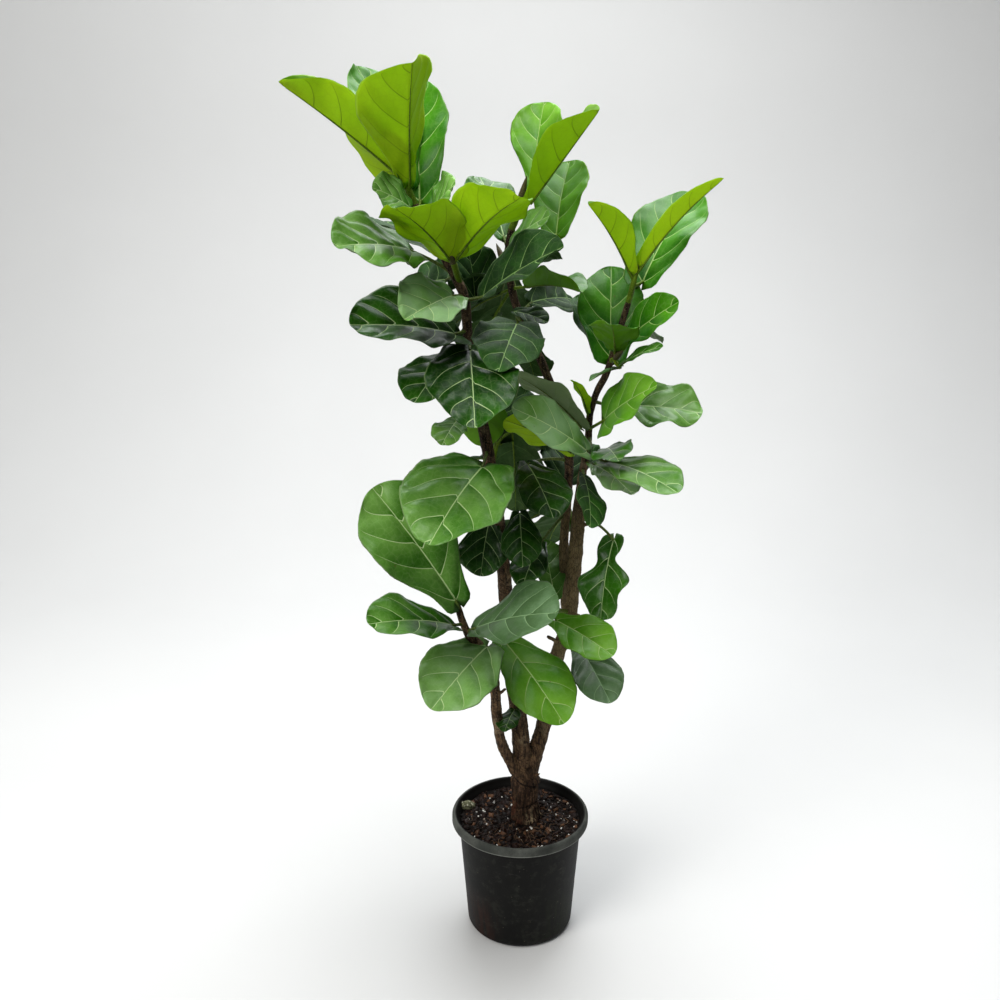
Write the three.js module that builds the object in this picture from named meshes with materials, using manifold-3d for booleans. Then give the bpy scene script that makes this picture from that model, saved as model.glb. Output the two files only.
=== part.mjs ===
// A potted fiddle leaf fig: nursery pot, potting mix, branched woody trunk, young leafy shoots and
// large waved leaves. Millimetres, +Z up, origin at the middle of the pot's foot.
// Seen from the front, X is to the right and Y goes away from the viewer.

import * as THREE from 'three';
import { mergeVertices } from 'three/addons/utils/BufferGeometryUtils.js';
import Module from 'manifold-3d';

const wasm = await Module();
wasm.setup();

// ---------------------------------------------------------------- driving dimensions

const FIT_GAP = 0.3;              // clearance between neighbouring pieces

const POT_HEIGHT = 245;
const POT_RIM_RADIUS = 135;       // outer radius over the rolled rim
const POT_RIM_HEIGHT = 18;
const POT_RIM_WIDTH = 10;         // radial width of the rolled rim
const POT_SHOULDER_RADIUS = 121;  // body radius just under the rim
const POT_FOOT_RADIUS = 105;      // body radius above the rounded bottom corner
const POT_CORNER = 14;            // radius of the bottom corner
const POT_WALL = 2.5;
const POT_FLOOR = 7;              // height of the floor's upper face
const POT_FLOOR_THICKNESS = 2.5;
const FOOT_RING_WIDTH = 10;
const CENTRE_PAD_RADIUS = 30;
const DRAIN_HOLES = 8;
const DRAIN_HOLE_RADIUS = 7;
const DRAIN_CIRCLE_RADIUS = 58;
const POT_SIDES = 32;

const SOIL_TOP = 227;             // mean height of the potting mix
const SOIL_RELIEF = 4;            // its rough surface, up and down
const SOIL_MOUND = 5;             // it rises this much towards the trunk
const SOIL_SIDES = 24;
const SOIL_RINGS = 5;
const SOIL_GAP = 0.8;             // clearance to the pot's wall, which is flat between its edges
const SOIL_SHOULDER = 213;        // height of the ring of points under its edge

const TRUNK_FOOT = 110;           // the trunk reaches down into the mix to here
const HOLE_CLEARANCE = 0.5;
const LIMB_SIDES = 8;
const LIMB_STEP = 42;             // length between rings along a limb
const BARK_RELIEF = 0.05;         // ridges and hollows, as a share of the radius

const BLADE_THICKNESS = 1.2;
const STALK_RADIUS = 3.2;
const STALK_END = 7;              // the stalk's four-sided bar ends this far before the blade
const MIDRIB_DEPTH = 2.4;         // the midrib stands this far under the blade at the stalk
const BUD_LENGTH = 42;            // pointed sheath at a shoot's end
const BUD_RADIUS = 5.5;

// A leaf's usual form, where its own row says nothing else.
const ARCH = 0.05;                // rise of its middle, as a share of its length
const FOLD = [10, 10];            // rise of its two halves, in degrees
const LIFT = [0, 0];              // further rise of the two halves towards the tip, in degrees
const WIDEST = 1.35;              // the higher, the nearer to the tip the blade is widest
const WAIST = 0.05;               // narrowing of the fiddle shape
const WAVE = 0.05;                // swing of its edge, as a share of its width
const WAVES = 2.2;                // swings along its edge

// Rows of points along the blade, as shares of its length, and across it, as shares of its half
// width. The tip is one point more.
const BLADE_ROWS = [0, 0.14, 0.35, 0.6, 0.84];
const BLADE_COLUMNS = [-1, -0.5, 0, 0.5, 1];

// ---------------------------------------------------------------- finishes

const FINISH = {
  pot: { color: 0x1b1c19, roughness: 0.6, metalness: 0 },
  soil: { color: 0x2b1a12, roughness: 0.95, metalness: 0 },
  bark: { color: 0x4d3a2c, roughness: 0.85, metalness: 0 },
  dark: { color: 0x234f22, roughness: 0.4, metalness: 0 },
  mid: { color: 0x3a7a33, roughness: 0.42, metalness: 0 },
  light: { color: 0x5a9440, roughness: 0.42, metalness: 0 },
  fresh: { color: 0x4a8a24, roughness: 0.45, metalness: 0 },
  pale: { color: 0x86b35a, roughness: 0.45, metalness: 0 },
  young: { color: 0x7fae2e, roughness: 0.45, metalness: 0 },
};

// ---------------------------------------------------------------- the branched trunk

// Each limb is a smooth curve through hand-placed points [x, y, z, radius].
const LIMBS = {
  bole: [
    [10, 0, TRUNK_FOOT, 24], [11, 0, 185, 25], [12, 0, 226, 30], [11, 0, 252, 27],
    [10, 0, 285, 26], [9, 1, 318, 27], [8, 2, 345, 20],
  ],
  left: [
    [8, 0, 308, 13], [-8, -5, 338, 12], [-27, -13, 378, 11], [-40, -28, 424, 10],
    [-46, -42, 484, 10], [-49, -52, 535, 9.5], [-56, -62, 591, 10], [-70, -76, 632, 9],
    [-94, -90, 661, 8], [-108, -100, 698, 7], [-116, -105, 731, 5.5],
  ],
  middle: [
    [8, 1, 305, 18], [4, 5, 350, 17.5], [0, 6, 410, 17], [-5, 8, 458, 16.5],
    [-14, 10, 520, 15.5], [-24, 14, 607, 14.5], [-30, 15, 710, 13.5], [-36, 12, 791, 13],
    [-46, 8, 870, 12], [-63, 0, 992, 11], [-82, -8, 1089, 10], [-95, -15, 1187, 9],
    [-100, -22, 1257, 8.5], [-113, -30, 1292, 8], [-136, -38, 1335, 7.5],
    [-160, -45, 1379, 7], [-182, -50, 1420, 6.5],
  ],
  right: [
    [12, 2, 305, 18], [24, 12, 350, 16.5], [43, 25, 410, 15], [60, 36, 480, 14.5],
    [71, 45, 560, 14], [92, 50, 628, 14.5], [98, 52, 705, 14.5], [104, 52, 786, 14],
    [108, 50, 857, 12.5], [112, 46, 925, 8], [121, 41, 985, 7], [123, 38, 1042, 6.5],
    [134, 32, 1085, 6.5], [149, 28, 1117, 6.5], [160, 24, 1154, 6], [171, 20, 1199, 6],
    [184, 15, 1250, 5.5],
  ],
  back: [
    [88, 51, 650, 10], [84, 64, 705, 9.5], [82, 76, 780, 9], [88, 90, 870, 8.5],
    [90, 97, 940, 8.5], [76, 102, 1017, 8], [43, 102, 1112, 8], [9, 96, 1187, 7.5],
    [-14, 86, 1243, 7.5], [-26, 73, 1315, 7], [-20, 60, 1371, 6.5],
  ],
};

// Young green shoots carry the newest leaves and end in a bud. The rear ones are side shoots.
const SHOOTS = {
  crown_left: [[-178, -49, 1412, 6], [-189, -53, 1438, 6], [-196, -56, 1462, 5]],
  crown_spur: [[-108, -27, 1284, 5.5], [-113, -42, 1305, 5.5], [-118, -55, 1325, 5]],
  crown_back: [[-22, 62, 1364, 6], [-11, 55, 1392, 6], [-4, 50, 1420, 5]],
  crown_right: [[182, 16, 1242, 5], [189, 12, 1272, 5], [195, 9, 1303, 4.5]],
  rear_low: [[103, 58, 798, 5.5], [96, 95, 830, 5], [82, 130, 862, 4.5]],
  rear_middle: [[-53, 6, 925, 5.5], [-53, 45, 950, 5], [-45, 85, 985, 4.5]],
  rear_top: [[-12, 90, 1238, 5.5], [-18, 128, 1270, 5], [-34, 162, 1305, 4.5]],
  twig_low: [[90, 48, 652, 5], [78, 22, 664, 4.5], [66, 4, 676, 4]],
  twig_right: [[158, 27, 1143, 5], [160, 6, 1149, 4], [163, -8, 1156, 3.5]],
};

// Short stubs of old twigs: limb, height on it, and where the stub ends.
const STUBS = [
  { limb: 'bole', height: 318, end: [38, -18, 338], radius: 3.5 },
  { limb: 'left', height: 520, end: [-30, -72, 548], radius: 3 },
  { limb: 'right', height: 585, end: [50, 22, 612], radius: 4 },
  { limb: 'right', height: 640, end: [112, 32, 650], radius: 5 },
  { limb: 'middle', height: 560, end: [-44, -2, 578], radius: 3.5 },
  { limb: 'right', height: 825, end: [146, 30, 838], radius: 3 },
  { limb: 'middle', height: 735, end: [-8, -4, 752], radius: 3.5 },
];

// ---------------------------------------------------------------- leaves

// Every leaf grows from a limb or shoot at a height. Its blade runs from foot to tip, and where no
// foot is given the stalk's length sets it. width is the blade's real width. roll turns the blade
// about its length, arch lifts its middle as a share of its length, and fold gives the rise of its
// two halves in degrees, which lift adds to towards the tip. widest, waist and wave shape its
// outline. The leaves of a shoot are one piece with it.
const LEAVES = {
  crown_left: [
    {
      at: 1436, tip: [-171, -179, 1626], stalk: 22, width: 168, roll: 15, arch: 0.04,
      fold: [50, 14], widest: 1.75, wave: 0.03, tone: 'young',
    },
    {
      at: 1448, tip: [-372, -154, 1601], stalk: 28, width: 136, roll: 25, arch: 0.02,
      fold: [24, -10], lift: [4, 140], widest: 0.8, tone: 'young',
    },
    {
      at: 1430, tip: [-274, 20, 1632], stalk: 25, width: 150, roll: 5, arch: 0.05, fold: [12, 12],
      wave: 0.04, tone: 'fresh',
    },
  ],
  crown_spur: [
    {
      at: 1318, tip: [-198, -182, 1418], stalk: 20, width: 142, roll: 10, arch: 0.05,
      fold: [20, 16], widest: 1.1, tone: 'young',
    },
    {
      at: 1322, tip: [-11, -197, 1435], stalk: 24, width: 136, roll: -15, arch: 0.06,
      fold: [20, 36], widest: 1.1, tone: 'young',
    },
  ],
  crown_back: [
    {
      at: 1398, foot: [19, 60, 1439], tip: [36, 100, 1578], width: 108, roll: -10, arch: 0.05,
      fold: [12, 12], widest: 1.9, wave: 0.04, tone: 'pale',
    },
    {
      at: 1404, foot: [12, 42, 1415], tip: [115, -78, 1562], width: 130, roll: 0, arch: 0.0,
      fold: [55, 14], widest: 1.7, wave: 0.02, tone: 'young',
    },
  ],
  crown_right: [
    {
      at: 1284, tip: [106, -58, 1417], stalk: 22, width: 84, roll: -5, arch: 0.04, fold: [45, 45],
      wave: 0.03, tone: 'young',
    },
    {
      at: 1278, foot: [207, 23, 1281], tip: [306, 131, 1425], width: 142, roll: 5, arch: 0.05,
      fold: [14, 14], widest: 1.15, wave: 0.03, tone: 'pale',
    },
    {
      at: 1292, tip: [315, -97, 1458], stalk: 25, width: 56, roll: -5, arch: 0.04, fold: [62, 62],
      widest: 0.9, wave: 0.03, tone: 'young',
    },
  ],
  rear_low: [
    { at: 846, tip: [-12, 200, 753], stalk: 35, width: 130, roll: 0, arch: 0.08, tone: 'dark' },
    { at: 830, tip: [59, 240, 719], stalk: 35, width: 130, roll: 0, arch: 0.08, tone: 'mid' },
    { at: 858, tip: [109, 220, 948], stalk: 30, width: 125, roll: 0, tone: 'mid' },
  ],
  rear_middle: [
    { at: 955, tip: [-139, 190, 878], stalk: 35, width: 125, roll: 0, arch: 0.08, tone: 'mid' },
    { at: 975, tip: [-10, 250, 894], stalk: 35, width: 135, roll: 0, arch: 0.08, tone: 'dark' },
    { at: 982, tip: [-17, 180, 1061], stalk: 30, width: 120, roll: 0, tone: 'mid' },
    { at: 975, foot: [-17, 100, 998], tip: [-9, 150, 824], width: 122, roll: 0, tone: 'dark' },
  ],
  rear_top: [
    { at: 1258, tip: [-150, 200, 1150], stalk: 35, width: 145, roll: 0, arch: 0.08, tone: 'dark' },
    { at: 1278, tip: [-130, 170, 1250], stalk: 30, width: 125, roll: 0, arch: 0.08, tone: 'mid' },
    { at: 1290, tip: [-44, 260, 1156], stalk: 35, width: 130, roll: 0, arch: 0.08, tone: 'light' },
    { at: 1300, tip: [47, 260, 1292], stalk: 30, width: 125, roll: 0, tone: 'mid' },
    { at: 1290, foot: [-86, 135, 1236], tip: [-102, 150, 1338], width: 120, roll: 0, tone: 'dark' },
    { at: 1262, foot: [-51, 130, 1207], tip: [-86, 175, 1132], width: 115, roll: 0, tone: 'dark' },
    { at: 1250, foot: [1, 120, 1155], tip: [25, 160, 1089], width: 92, roll: 0, tone: 'dark' },
  ],
  twig_low: [
    { at: 668, foot: [62, -30, 668], tip: [159, -135, 646], width: 92, roll: 25, tone: 'light' },
    { at: 674, foot: [62, 22, 694], tip: [40, 130, 773], width: 82, roll: 10, tone: 'light' },
  ],
  twig_right: [
    { at: 1154, tip: [144, -110, 1228], stalk: 24, width: 88, roll: -5, tone: 'young' },
    { at: 1152, foot: [164, -22, 1141], tip: [229, -102, 1190], width: 42, roll: 30, tone: 'mid' },
    { at: 1147, foot: [171, -14, 1140], tip: [115, -66, 1126], width: 36, roll: 20, tone: 'mid' },
  ],
  leaf_middle: [
    {
      at: 1408, foot: [-172, -40, 1421], tip: [-178, 105, 1612], width: 112, roll: -15,
      widest: 1.1, wave: 0.04, tone: 'fresh',
    },
    { at: 1395, foot: [-184, -82, 1414], tip: [-241, -122, 1447], width: 86, roll: -50, tone: 'mid' },
    { at: 1388, foot: [-153, -64, 1405], tip: [-112, -98, 1452], width: 92, roll: 50, tone: 'light' },
    {
      at: 1300, foot: [-186, -60, 1345], tip: [-293, -190, 1363], width: 150, roll: -35,
      fold: [12, 4], widest: 1.0, tone: 'mid',
    },
    { at: 1318, tip: [-250, 124, 1377], stalk: 35, width: 125, roll: 0, tone: 'mid' },
    {
      at: 1258, foot: [-72, -42, 1264], tip: [59, -134, 1356], width: 122, roll: 60, fold: [8, 40],
      tone: 'dark',
    },
    {
      at: 1262, tip: [-190, -180, 1249], stalk: 35, width: 122, roll: -42, fold: [35, 8],
      widest: 1.15, wave: 0.05, tone: 'mid',
    },
    {
      at: 1205, foot: [-114, -38, 1202], tip: [-277, -163, 1237], width: 156, roll: -45,
      fold: [30, 2], widest: 1.0, wave: 0.04, tone: 'mid',
    },
    { at: 1300, foot: [-131, -2, 1290], tip: [-215, 138, 1248], width: 120, roll: -40, tone: 'dark' },
    {
      at: 1160, foot: [-122, -10, 1158], tip: [-180, -144, 1107], width: 112, roll: -10,
      wave: 0.03, tone: 'dark',
    },
    {
      at: 1180, foot: [-91, -60, 1181], tip: [-80, -224, 1085], width: 158, roll: 0, widest: 1.0,
      wave: 0.04, tone: 'dark',
    },
    { at: 1060, foot: [-112, -30, 1052], tip: [-138, -111, 1025], width: 62, roll: -5, tone: 'mid' },
    { at: 1110, foot: [-74, 28, 1097], tip: [-73, 58, 980], width: 95, roll: 0, tone: 'young' },
    {
      at: 990, foot: [-70, -40, 969], tip: [-154, -238, 893], width: 200, roll: -8, fold: [10, 14],
      widest: 0.95, wave: 0.04, tone: 'light',
    },
    { at: 830, foot: [-60, 10, 848], tip: [-75, -38, 760], width: 98, roll: 0, tone: 'dark' },
    { at: 790, foot: [-4, -5, 869], tip: [1, -75, 792], width: 76, roll: 5, tone: 'dark' },
    {
      at: 640, foot: [-34, -30, 628], tip: [73, -151, 522], width: 130, roll: 15, wave: 0.03,
      tone: 'light',
    },
    { at: 470, tip: [-31, -76, 462], stalk: 15, width: 50, roll: 10, tone: 'dark' },
  ],
  leaf_left: [
    {
      at: 716, foot: [-116, -112, 738], tip: [-260, -75, 934], width: 173, roll: -45, widest: 1.55,
      wave: 0.03, tone: 'light',
    },
    {
      at: 690, foot: [-122, -119, 697], tip: [-255, -250, 756], width: 118, roll: -22, widest: 1.4,
      wave: 0.03, tone: 'mid',
    },
    {
      at: 673, foot: [-86, -110, 687], tip: [56, -208, 758], width: 148, roll: 30, widest: 1.6,
      wave: 0.03, tone: 'mid',
    },
    {
      at: 630, foot: [-62, -85, 642], tip: [-155, -244, 598], width: 140, roll: -20, widest: 1.15,
      wave: 0.03, tone: 'light',
    },
  ],
  leaf_back: [
    { at: 1330, tip: [-77, 211, 1450], stalk: 30, width: 102, roll: 5, tone: 'light' },
    {
      at: 1340, foot: [59, 72, 1357], tip: [88, 193, 1479], width: 108, roll: -15, widest: 1.2,
      wave: 0.03, tone: 'fresh',
    },
    { at: 1322, foot: [-23, 40, 1344], tip: [41, -50, 1399], width: 70, roll: 55, tone: 'light' },
    {
      at: 1263, foot: [10, 55, 1271], tip: [94, -80, 1278], width: 88, roll: 10, fold: [12, 62],
      tone: 'fresh',
    },
    { at: 1213, foot: [17, 130, 1233], tip: [101, 244, 1223], width: 100, roll: 35, tone: 'mid' },
    { at: 1200, foot: [-15, 55, 1227], tip: [43, 20, 1213], width: 50, roll: 25, tone: 'mid' },
    {
      at: 1150, foot: [-10, 0, 1215], tip: [-42, -150, 1160], width: 126, roll: -10, widest: 1.0,
      tone: 'mid',
    },
    { at: 1085, foot: [92, 45, 970], tip: [-29, 30, 1034], width: 105, roll: 45, tone: 'young' },
    { at: 940, foot: [10, 50, 948], tip: [53, -80, 886], width: 106, roll: 0, tone: 'dark' },
    { at: 840, foot: [35, 35, 796], tip: [1, -67, 750], width: 72, roll: 0, tone: 'dark' },
  ],
  leaf_right: [
    {
      at: 1000, foot: [116, -34, 992], tip: [-18, -118, 1090], width: 94, roll: -55, wave: 0.03,
      tone: 'light',
    },
    { at: 1030, foot: [107, 12, 1026], tip: [-16, -70, 1139], width: 88, roll: 15, tone: 'dark' },
    { at: 935, foot: [112, 0, 938], tip: [116, -116, 880], width: 66, roll: -35, tone: 'dark' },
    { at: 952, foot: [155, 26, 983], tip: [163, -105, 995], width: 78, roll: 20, tone: 'mid' },
    {
      at: 965, foot: [151, -6, 967], tip: [257, -154, 954], width: 105, roll: 10, wave: 0.03,
      tone: 'light',
    },
    { at: 950, tip: [191, -80, 928], stalk: 30, width: 85, roll: 5, tone: 'light' },
    {
      at: 1160, foot: [156, 30, 1146], tip: [161, 110, 1297], width: 120, roll: 0, widest: 1.15,
      wave: 0.03, tone: 'dark',
    },
    { at: 1134, foot: [141, 64, 1148], tip: [122, 177, 1236], width: 100, roll: 15, tone: 'mid' },
    {
      at: 1205, foot: [177, -2, 1180], tip: [255, -83, 1262], width: 80, roll: 70, fold: [10, 22],
      wave: 0.04, tone: 'mid',
    },
    { at: 1205, foot: [228, 44, 1196], tip: [235, 120, 1172], width: 58, roll: 45, tone: 'mid' },
    { at: 1035, tip: [88, -13, 1115], stalk: 18, width: 42, roll: -20, tone: 'young' },
    {
      at: 1015, foot: [144, -12, 1044], tip: [221, -108, 1126], width: 108, roll: 58, widest: 0.7,
      wave: 0.05, tone: 'fresh',
    },
    {
      at: 1068, foot: [167, 24, 1061], tip: [314, -20, 1059], width: 120, roll: 28, wave: 0.08,
      tone: 'light',
    },
    {
      at: 845, foot: [173, 35, 806], tip: [145, -49, 678], width: 98, roll: 18, widest: 1.2,
      waist: 0.4, wave: 0.11, tone: 'dark',
    },
    {
      at: 600, foot: [113, 10, 593], tip: [160, -113, 542], width: 96, roll: 10, widest: 1.3,
      wave: 0.03, tone: 'light',
    },
  ],
};

// ---------------------------------------------------------------- helpers

const UP = new THREE.Vector3(0, 0, 1);

function vector(values) {
  return new THREE.Vector3(values[0], values[1], values[2]);
}

// The same seed gives the same plant.
function seededRandom(seed) {
  let state = seed;
  return () => {
    state = (state * 1664525 + 1013904223) % 4294967296;
    return state / 4294967296;
  };
}

function geometryFrom(points, faces) {
  const geometry = new THREE.BufferGeometry();
  const values = points.flatMap((point) => point.toArray());
  geometry.setAttribute('position', new THREE.Float32BufferAttribute(values, 3));
  geometry.setIndex(faces.flat());
  return geometry;
}

function toSolid(geometry) {
  const plain = geometry.clone();
  plain.deleteAttribute('normal');
  plain.deleteAttribute('uv');
  const merged = mergeVertices(plain, 1e-4);
  return new wasm.Manifold(new wasm.Mesh({
    numProp: 3,
    vertProperties: new Float32Array(merged.getAttribute('position').array),
    triVerts: new Uint32Array(merged.getIndex().array),
  }));
}

function toGeometry(solid) {
  const mesh = solid.getMesh();
  const geometry = new THREE.BufferGeometry();
  const positions = new Float32Array(mesh.vertProperties);
  geometry.setAttribute('position', new THREE.BufferAttribute(positions, 3));
  geometry.setIndex(new THREE.BufferAttribute(new Uint32Array(mesh.triVerts), 1));
  return geometry;
}

function union(solids) {
  return solids.reduce((whole, next) => whole.add(next));
}

const group = new THREE.Group();

function addPiece(name, geometry, finish) {
  geometry.computeVertexNormals();
  const mesh = new THREE.Mesh(geometry, new THREE.MeshStandardMaterial(FINISH[finish]));
  mesh.name = name;
  group.add(mesh);
}

// ---------------------------------------------------------------- pot and potting mix

// Outer radius of the pot's body at a height above its bottom corner.
function bodyRadius(z) {
  const share = (z - POT_CORNER) / (POT_HEIGHT - POT_RIM_HEIGHT - POT_CORNER);
  return THREE.MathUtils.lerp(POT_FOOT_RADIUS, POT_SHOULDER_RADIUS, share);
}

function potGeometry() {
  const rimFoot = POT_HEIGHT - POT_RIM_HEIGHT;
  const mouth = POT_RIM_RADIUS - POT_RIM_WIDTH;
  const ring = POT_FOOT_RADIUS - POT_CORNER;
  const outline = [
    [0, 0],
    [CENTRE_PAD_RADIUS, 0],
    [CENTRE_PAD_RADIUS + 3, POT_FLOOR - POT_FLOOR_THICKNESS],
    [ring - FOOT_RING_WIDTH - 3, POT_FLOOR - POT_FLOOR_THICKNESS],
    [ring - FOOT_RING_WIDTH, 0],
    [ring, 0],
    [POT_FOOT_RADIUS - 0.3 * POT_CORNER, 0.3 * POT_CORNER],
    [POT_FOOT_RADIUS, POT_CORNER],
    [bodyRadius(rimFoot), rimFoot],
    [POT_RIM_RADIUS - 2, rimFoot],
    [POT_RIM_RADIUS, rimFoot + 5],
    [POT_RIM_RADIUS, POT_HEIGHT - 6],
    [POT_RIM_RADIUS - 3, POT_HEIGHT - 1],
    [POT_RIM_RADIUS - 6, POT_HEIGHT],
    [mouth + 1.5, POT_HEIGHT - 2],
    [mouth, POT_HEIGHT - 6],
    [bodyRadius(rimFoot) - POT_WALL, rimFoot],
    [POT_FOOT_RADIUS - POT_WALL, POT_CORNER],
    [POT_FOOT_RADIUS - POT_WALL - 6, POT_FLOOR],
    [0, POT_FLOOR],
  ];
  const profile = outline.map(([radius, z]) => new THREE.Vector2(radius, z));
  const lathe = new THREE.LatheGeometry(profile, POT_SIDES);
  lathe.rotateX(Math.PI / 2);
  let solid = toSolid(lathe);
  for (let i = 0; i < DRAIN_HOLES; i += 1) {
    const angle = 2 * Math.PI * (i + 0.5) / DRAIN_HOLES;
    const hole = new THREE.CylinderGeometry(DRAIN_HOLE_RADIUS, DRAIN_HOLE_RADIUS, 4 * POT_FLOOR, 10);
    hole.rotateX(Math.PI / 2);
    hole.translate(DRAIN_CIRCLE_RADIUS, 0, 0);
    hole.rotateZ(angle);
    solid = solid.subtract(toSolid(hole));
  }
  return toGeometry(solid);
}

// Radius of the potting mix at a height along the pot's wall.
function mixRadius(z) {
  return bodyRadius(z) - POT_WALL - SOIL_GAP;
}

// A level ring of points, one for each side of the potting mix.
function mixRing(radius, heightAt) {
  const ring = [];
  for (let j = 0; j < SOIL_SIDES; j += 1) {
    const angle = 2 * Math.PI * j / SOIL_SIDES;
    ring.push(new THREE.Vector3(radius * Math.cos(angle), radius * Math.sin(angle), heightAt()));
  }
  return ring;
}

function mixGeometry() {
  const random = seededRandom(11);
  const bottom = POT_FLOOR + FIT_GAP;
  const edge = mixRadius(SOIL_TOP) - SOIL_GAP;
  const rings = [];
  for (let i = 1; i <= SOIL_RINGS; i += 1) {
    const share = i / SOIL_RINGS;
    const relief = share === 1 ? 0.4 * SOIL_RELIEF : SOIL_RELIEF;
    const mean = SOIL_TOP + SOIL_MOUND * (1 - share);
    rings.push(mixRing(share * edge, () => mean + relief * (2 * random() - 1)));
  }
  rings.push(mixRing(mixRadius(SOIL_SHOULDER), () => SOIL_SHOULDER));
  rings.push(mixRing(mixRadius(POT_CORNER + 6), () => POT_CORNER + 6));
  rings.push(mixRing(mixRadius(POT_CORNER) - 9, () => bottom));
  const middle = new THREE.Vector3(0, 0, SOIL_TOP + SOIL_MOUND);
  const points = [middle, ...rings.flat(), new THREE.Vector3(0, 0, bottom)];
  const faces = [];
  const last = rings.length - 1;
  const at = (ring, side) => 1 + ring * SOIL_SIDES + (side % SOIL_SIDES);
  for (let j = 0; j < SOIL_SIDES; j += 1) {
    faces.push([0, at(0, j), at(0, j + 1)]);
    for (let i = 0; i < last; i += 1) {
      faces.push([at(i, j), at(i + 1, j), at(i + 1, j + 1)]);
      faces.push([at(i, j), at(i + 1, j + 1), at(i, j + 1)]);
    }
    faces.push([points.length - 1, at(last, j + 1), at(last, j)]);
  }
  const grown = toSolid(limbGeometry(LIMBS.bole, HOLE_CLEARANCE));
  return toGeometry(toSolid(geometryFrom(points, faces)).subtract(grown));
}

// ---------------------------------------------------------------- limbs

// A leaf group's own shoot, or else the limb that its name ends in.
function stemRows(name) {
  return SHOOTS[name] ?? LIMBS[name.replace('leaf_', '')];
}

function limbCurve(rows) {
  return new THREE.CatmullRomCurve3(rows.map(vector), false, 'catmullrom', 0.5);
}

// Radius along a limb, between its rows.
function limbRadius(rows, u) {
  const place = u * (rows.length - 1);
  const i = Math.min(Math.floor(place), rows.length - 2);
  return THREE.MathUtils.lerp(rows[i][3], rows[i + 1][3], place - i);
}

// The point of a limb's middle line at a height.
function limbPoint(rows, height) {
  const curve = limbCurve(rows);
  let low = 0;
  let high = 1;
  for (let i = 0; i < 30; i += 1) {
    const half = (low + high) / 2;
    if (curve.getPoint(half).z < height) {
      low = half;
    } else {
      high = half;
    }
  }
  return curve.getPoint(low);
}

function tubeGeometry(path, radii, sides, relief = 0, seed = 1) {
  const random = seededRandom(seed);
  const points = [];
  const faces = [];
  path.forEach((centre, i) => {
    const before = path[Math.max(i - 1, 0)];
    const after = path[Math.min(i + 1, path.length - 1)];
    const along = after.clone().sub(before).normalize();
    const across = new THREE.Vector3(0, 1, 0).cross(along).normalize();
    const outward = along.clone().cross(across);
    for (let j = 0; j < sides; j += 1) {
      const angle = 2 * Math.PI * j / sides;
      const radius = radii[i] * (1 + relief * (2 * random() - 1));
      points.push(centre.clone()
        .addScaledVector(across, radius * Math.cos(angle))
        .addScaledVector(outward, radius * Math.sin(angle)));
    }
  });
  const at = (ring, side) => ring * sides + (side % sides);
  for (let i = 0; i + 1 < path.length; i += 1) {
    for (let j = 0; j < sides; j += 1) {
      faces.push([at(i, j), at(i, j + 1), at(i + 1, j + 1)]);
      faces.push([at(i, j), at(i + 1, j + 1), at(i + 1, j)]);
    }
  }
  for (let j = 1; j + 1 < sides; j += 1) {
    faces.push([at(0, 0), at(0, j + 1), at(0, j)]);
    faces.push([at(path.length - 1, 0), at(path.length - 1, j), at(path.length - 1, j + 1)]);
  }
  return geometryFrom(points, faces);
}

function limbGeometry(rows, growth = 0, relief = BARK_RELIEF) {
  const curve = limbCurve(rows);
  const steps = Math.max(2, Math.round(curve.getLength() / LIMB_STEP));
  const path = [];
  const radii = [];
  for (let i = 0; i <= steps; i += 1) {
    path.push(curve.getPoint(i / steps));
    radii.push(limbRadius(rows, i / steps) + growth);
  }
  return tubeGeometry(path, radii, LIMB_SIDES, relief, rows.length);
}

function stubSolid(stub, growth) {
  const start = limbPoint(LIMBS[stub.limb], stub.height);
  const end = vector(stub.end);
  const middle = start.clone().lerp(end, 0.6);
  const radii = [1.3, 1, 0.7].map((share) => share * stub.radius + growth);
  return toSolid(tubeGeometry([start, middle, end], radii, 5));
}

function trunkSolid(growth) {
  const limbs = Object.values(LIMBS).map((rows) => toSolid(limbGeometry(rows, growth)));
  const stubs = STUBS.map((stub) => stubSolid(stub, growth));
  return union([...limbs, ...stubs]);
}

// ---------------------------------------------------------------- leaf form

// Half width of the blade along its length, as a share of its greatest half width: small lobes at
// the stalk, a slight waist, then broad and rounded towards the tip.
function bladeOutline(s, leaf) {
  const widest = leaf.widest ?? WIDEST;
  const waist = leaf.waist ?? WAIST;
  const body = Math.sqrt(Math.sin(Math.PI * Math.min(s, 0.999) ** widest));
  const pinch = 1 - waist * Math.exp(-(((s - 0.3) / 0.14) ** 2));
  const lobes = 0.2 * Math.exp(-((s / 0.1) ** 2));
  return body * pinch + lobes;
}

// A direction turned by an angle towards another one square to it.
function turned(from, to, angle) {
  return from.clone().multiplyScalar(Math.cos(angle)).addScaledVector(to, Math.sin(angle));
}

// The leaf's frame: where the stalk starts and ends, the blade's direction, its side and its face.
function leafFrame(leaf, stem) {
  const start = limbPoint(stem, leaf.at);
  const tip = vector(leaf.tip);
  const lean = tip.clone().sub(start).normalize().addScaledVector(UP, 0.3).normalize();
  const foot = leaf.foot ? vector(leaf.foot) : start.clone().addScaledVector(lean, leaf.stalk);
  const chord = tip.clone().sub(foot);
  const length = chord.length();
  const along = chord.clone().normalize();
  const face0 = UP.clone().addScaledVector(along, -along.dot(UP)).normalize();
  const side0 = along.clone().cross(face0);
  const roll = THREE.MathUtils.degToRad(leaf.roll);
  const face = turned(face0, side0, roll);
  const side = along.clone().cross(face);
  return { start, foot, length, along, face, side };
}

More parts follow.
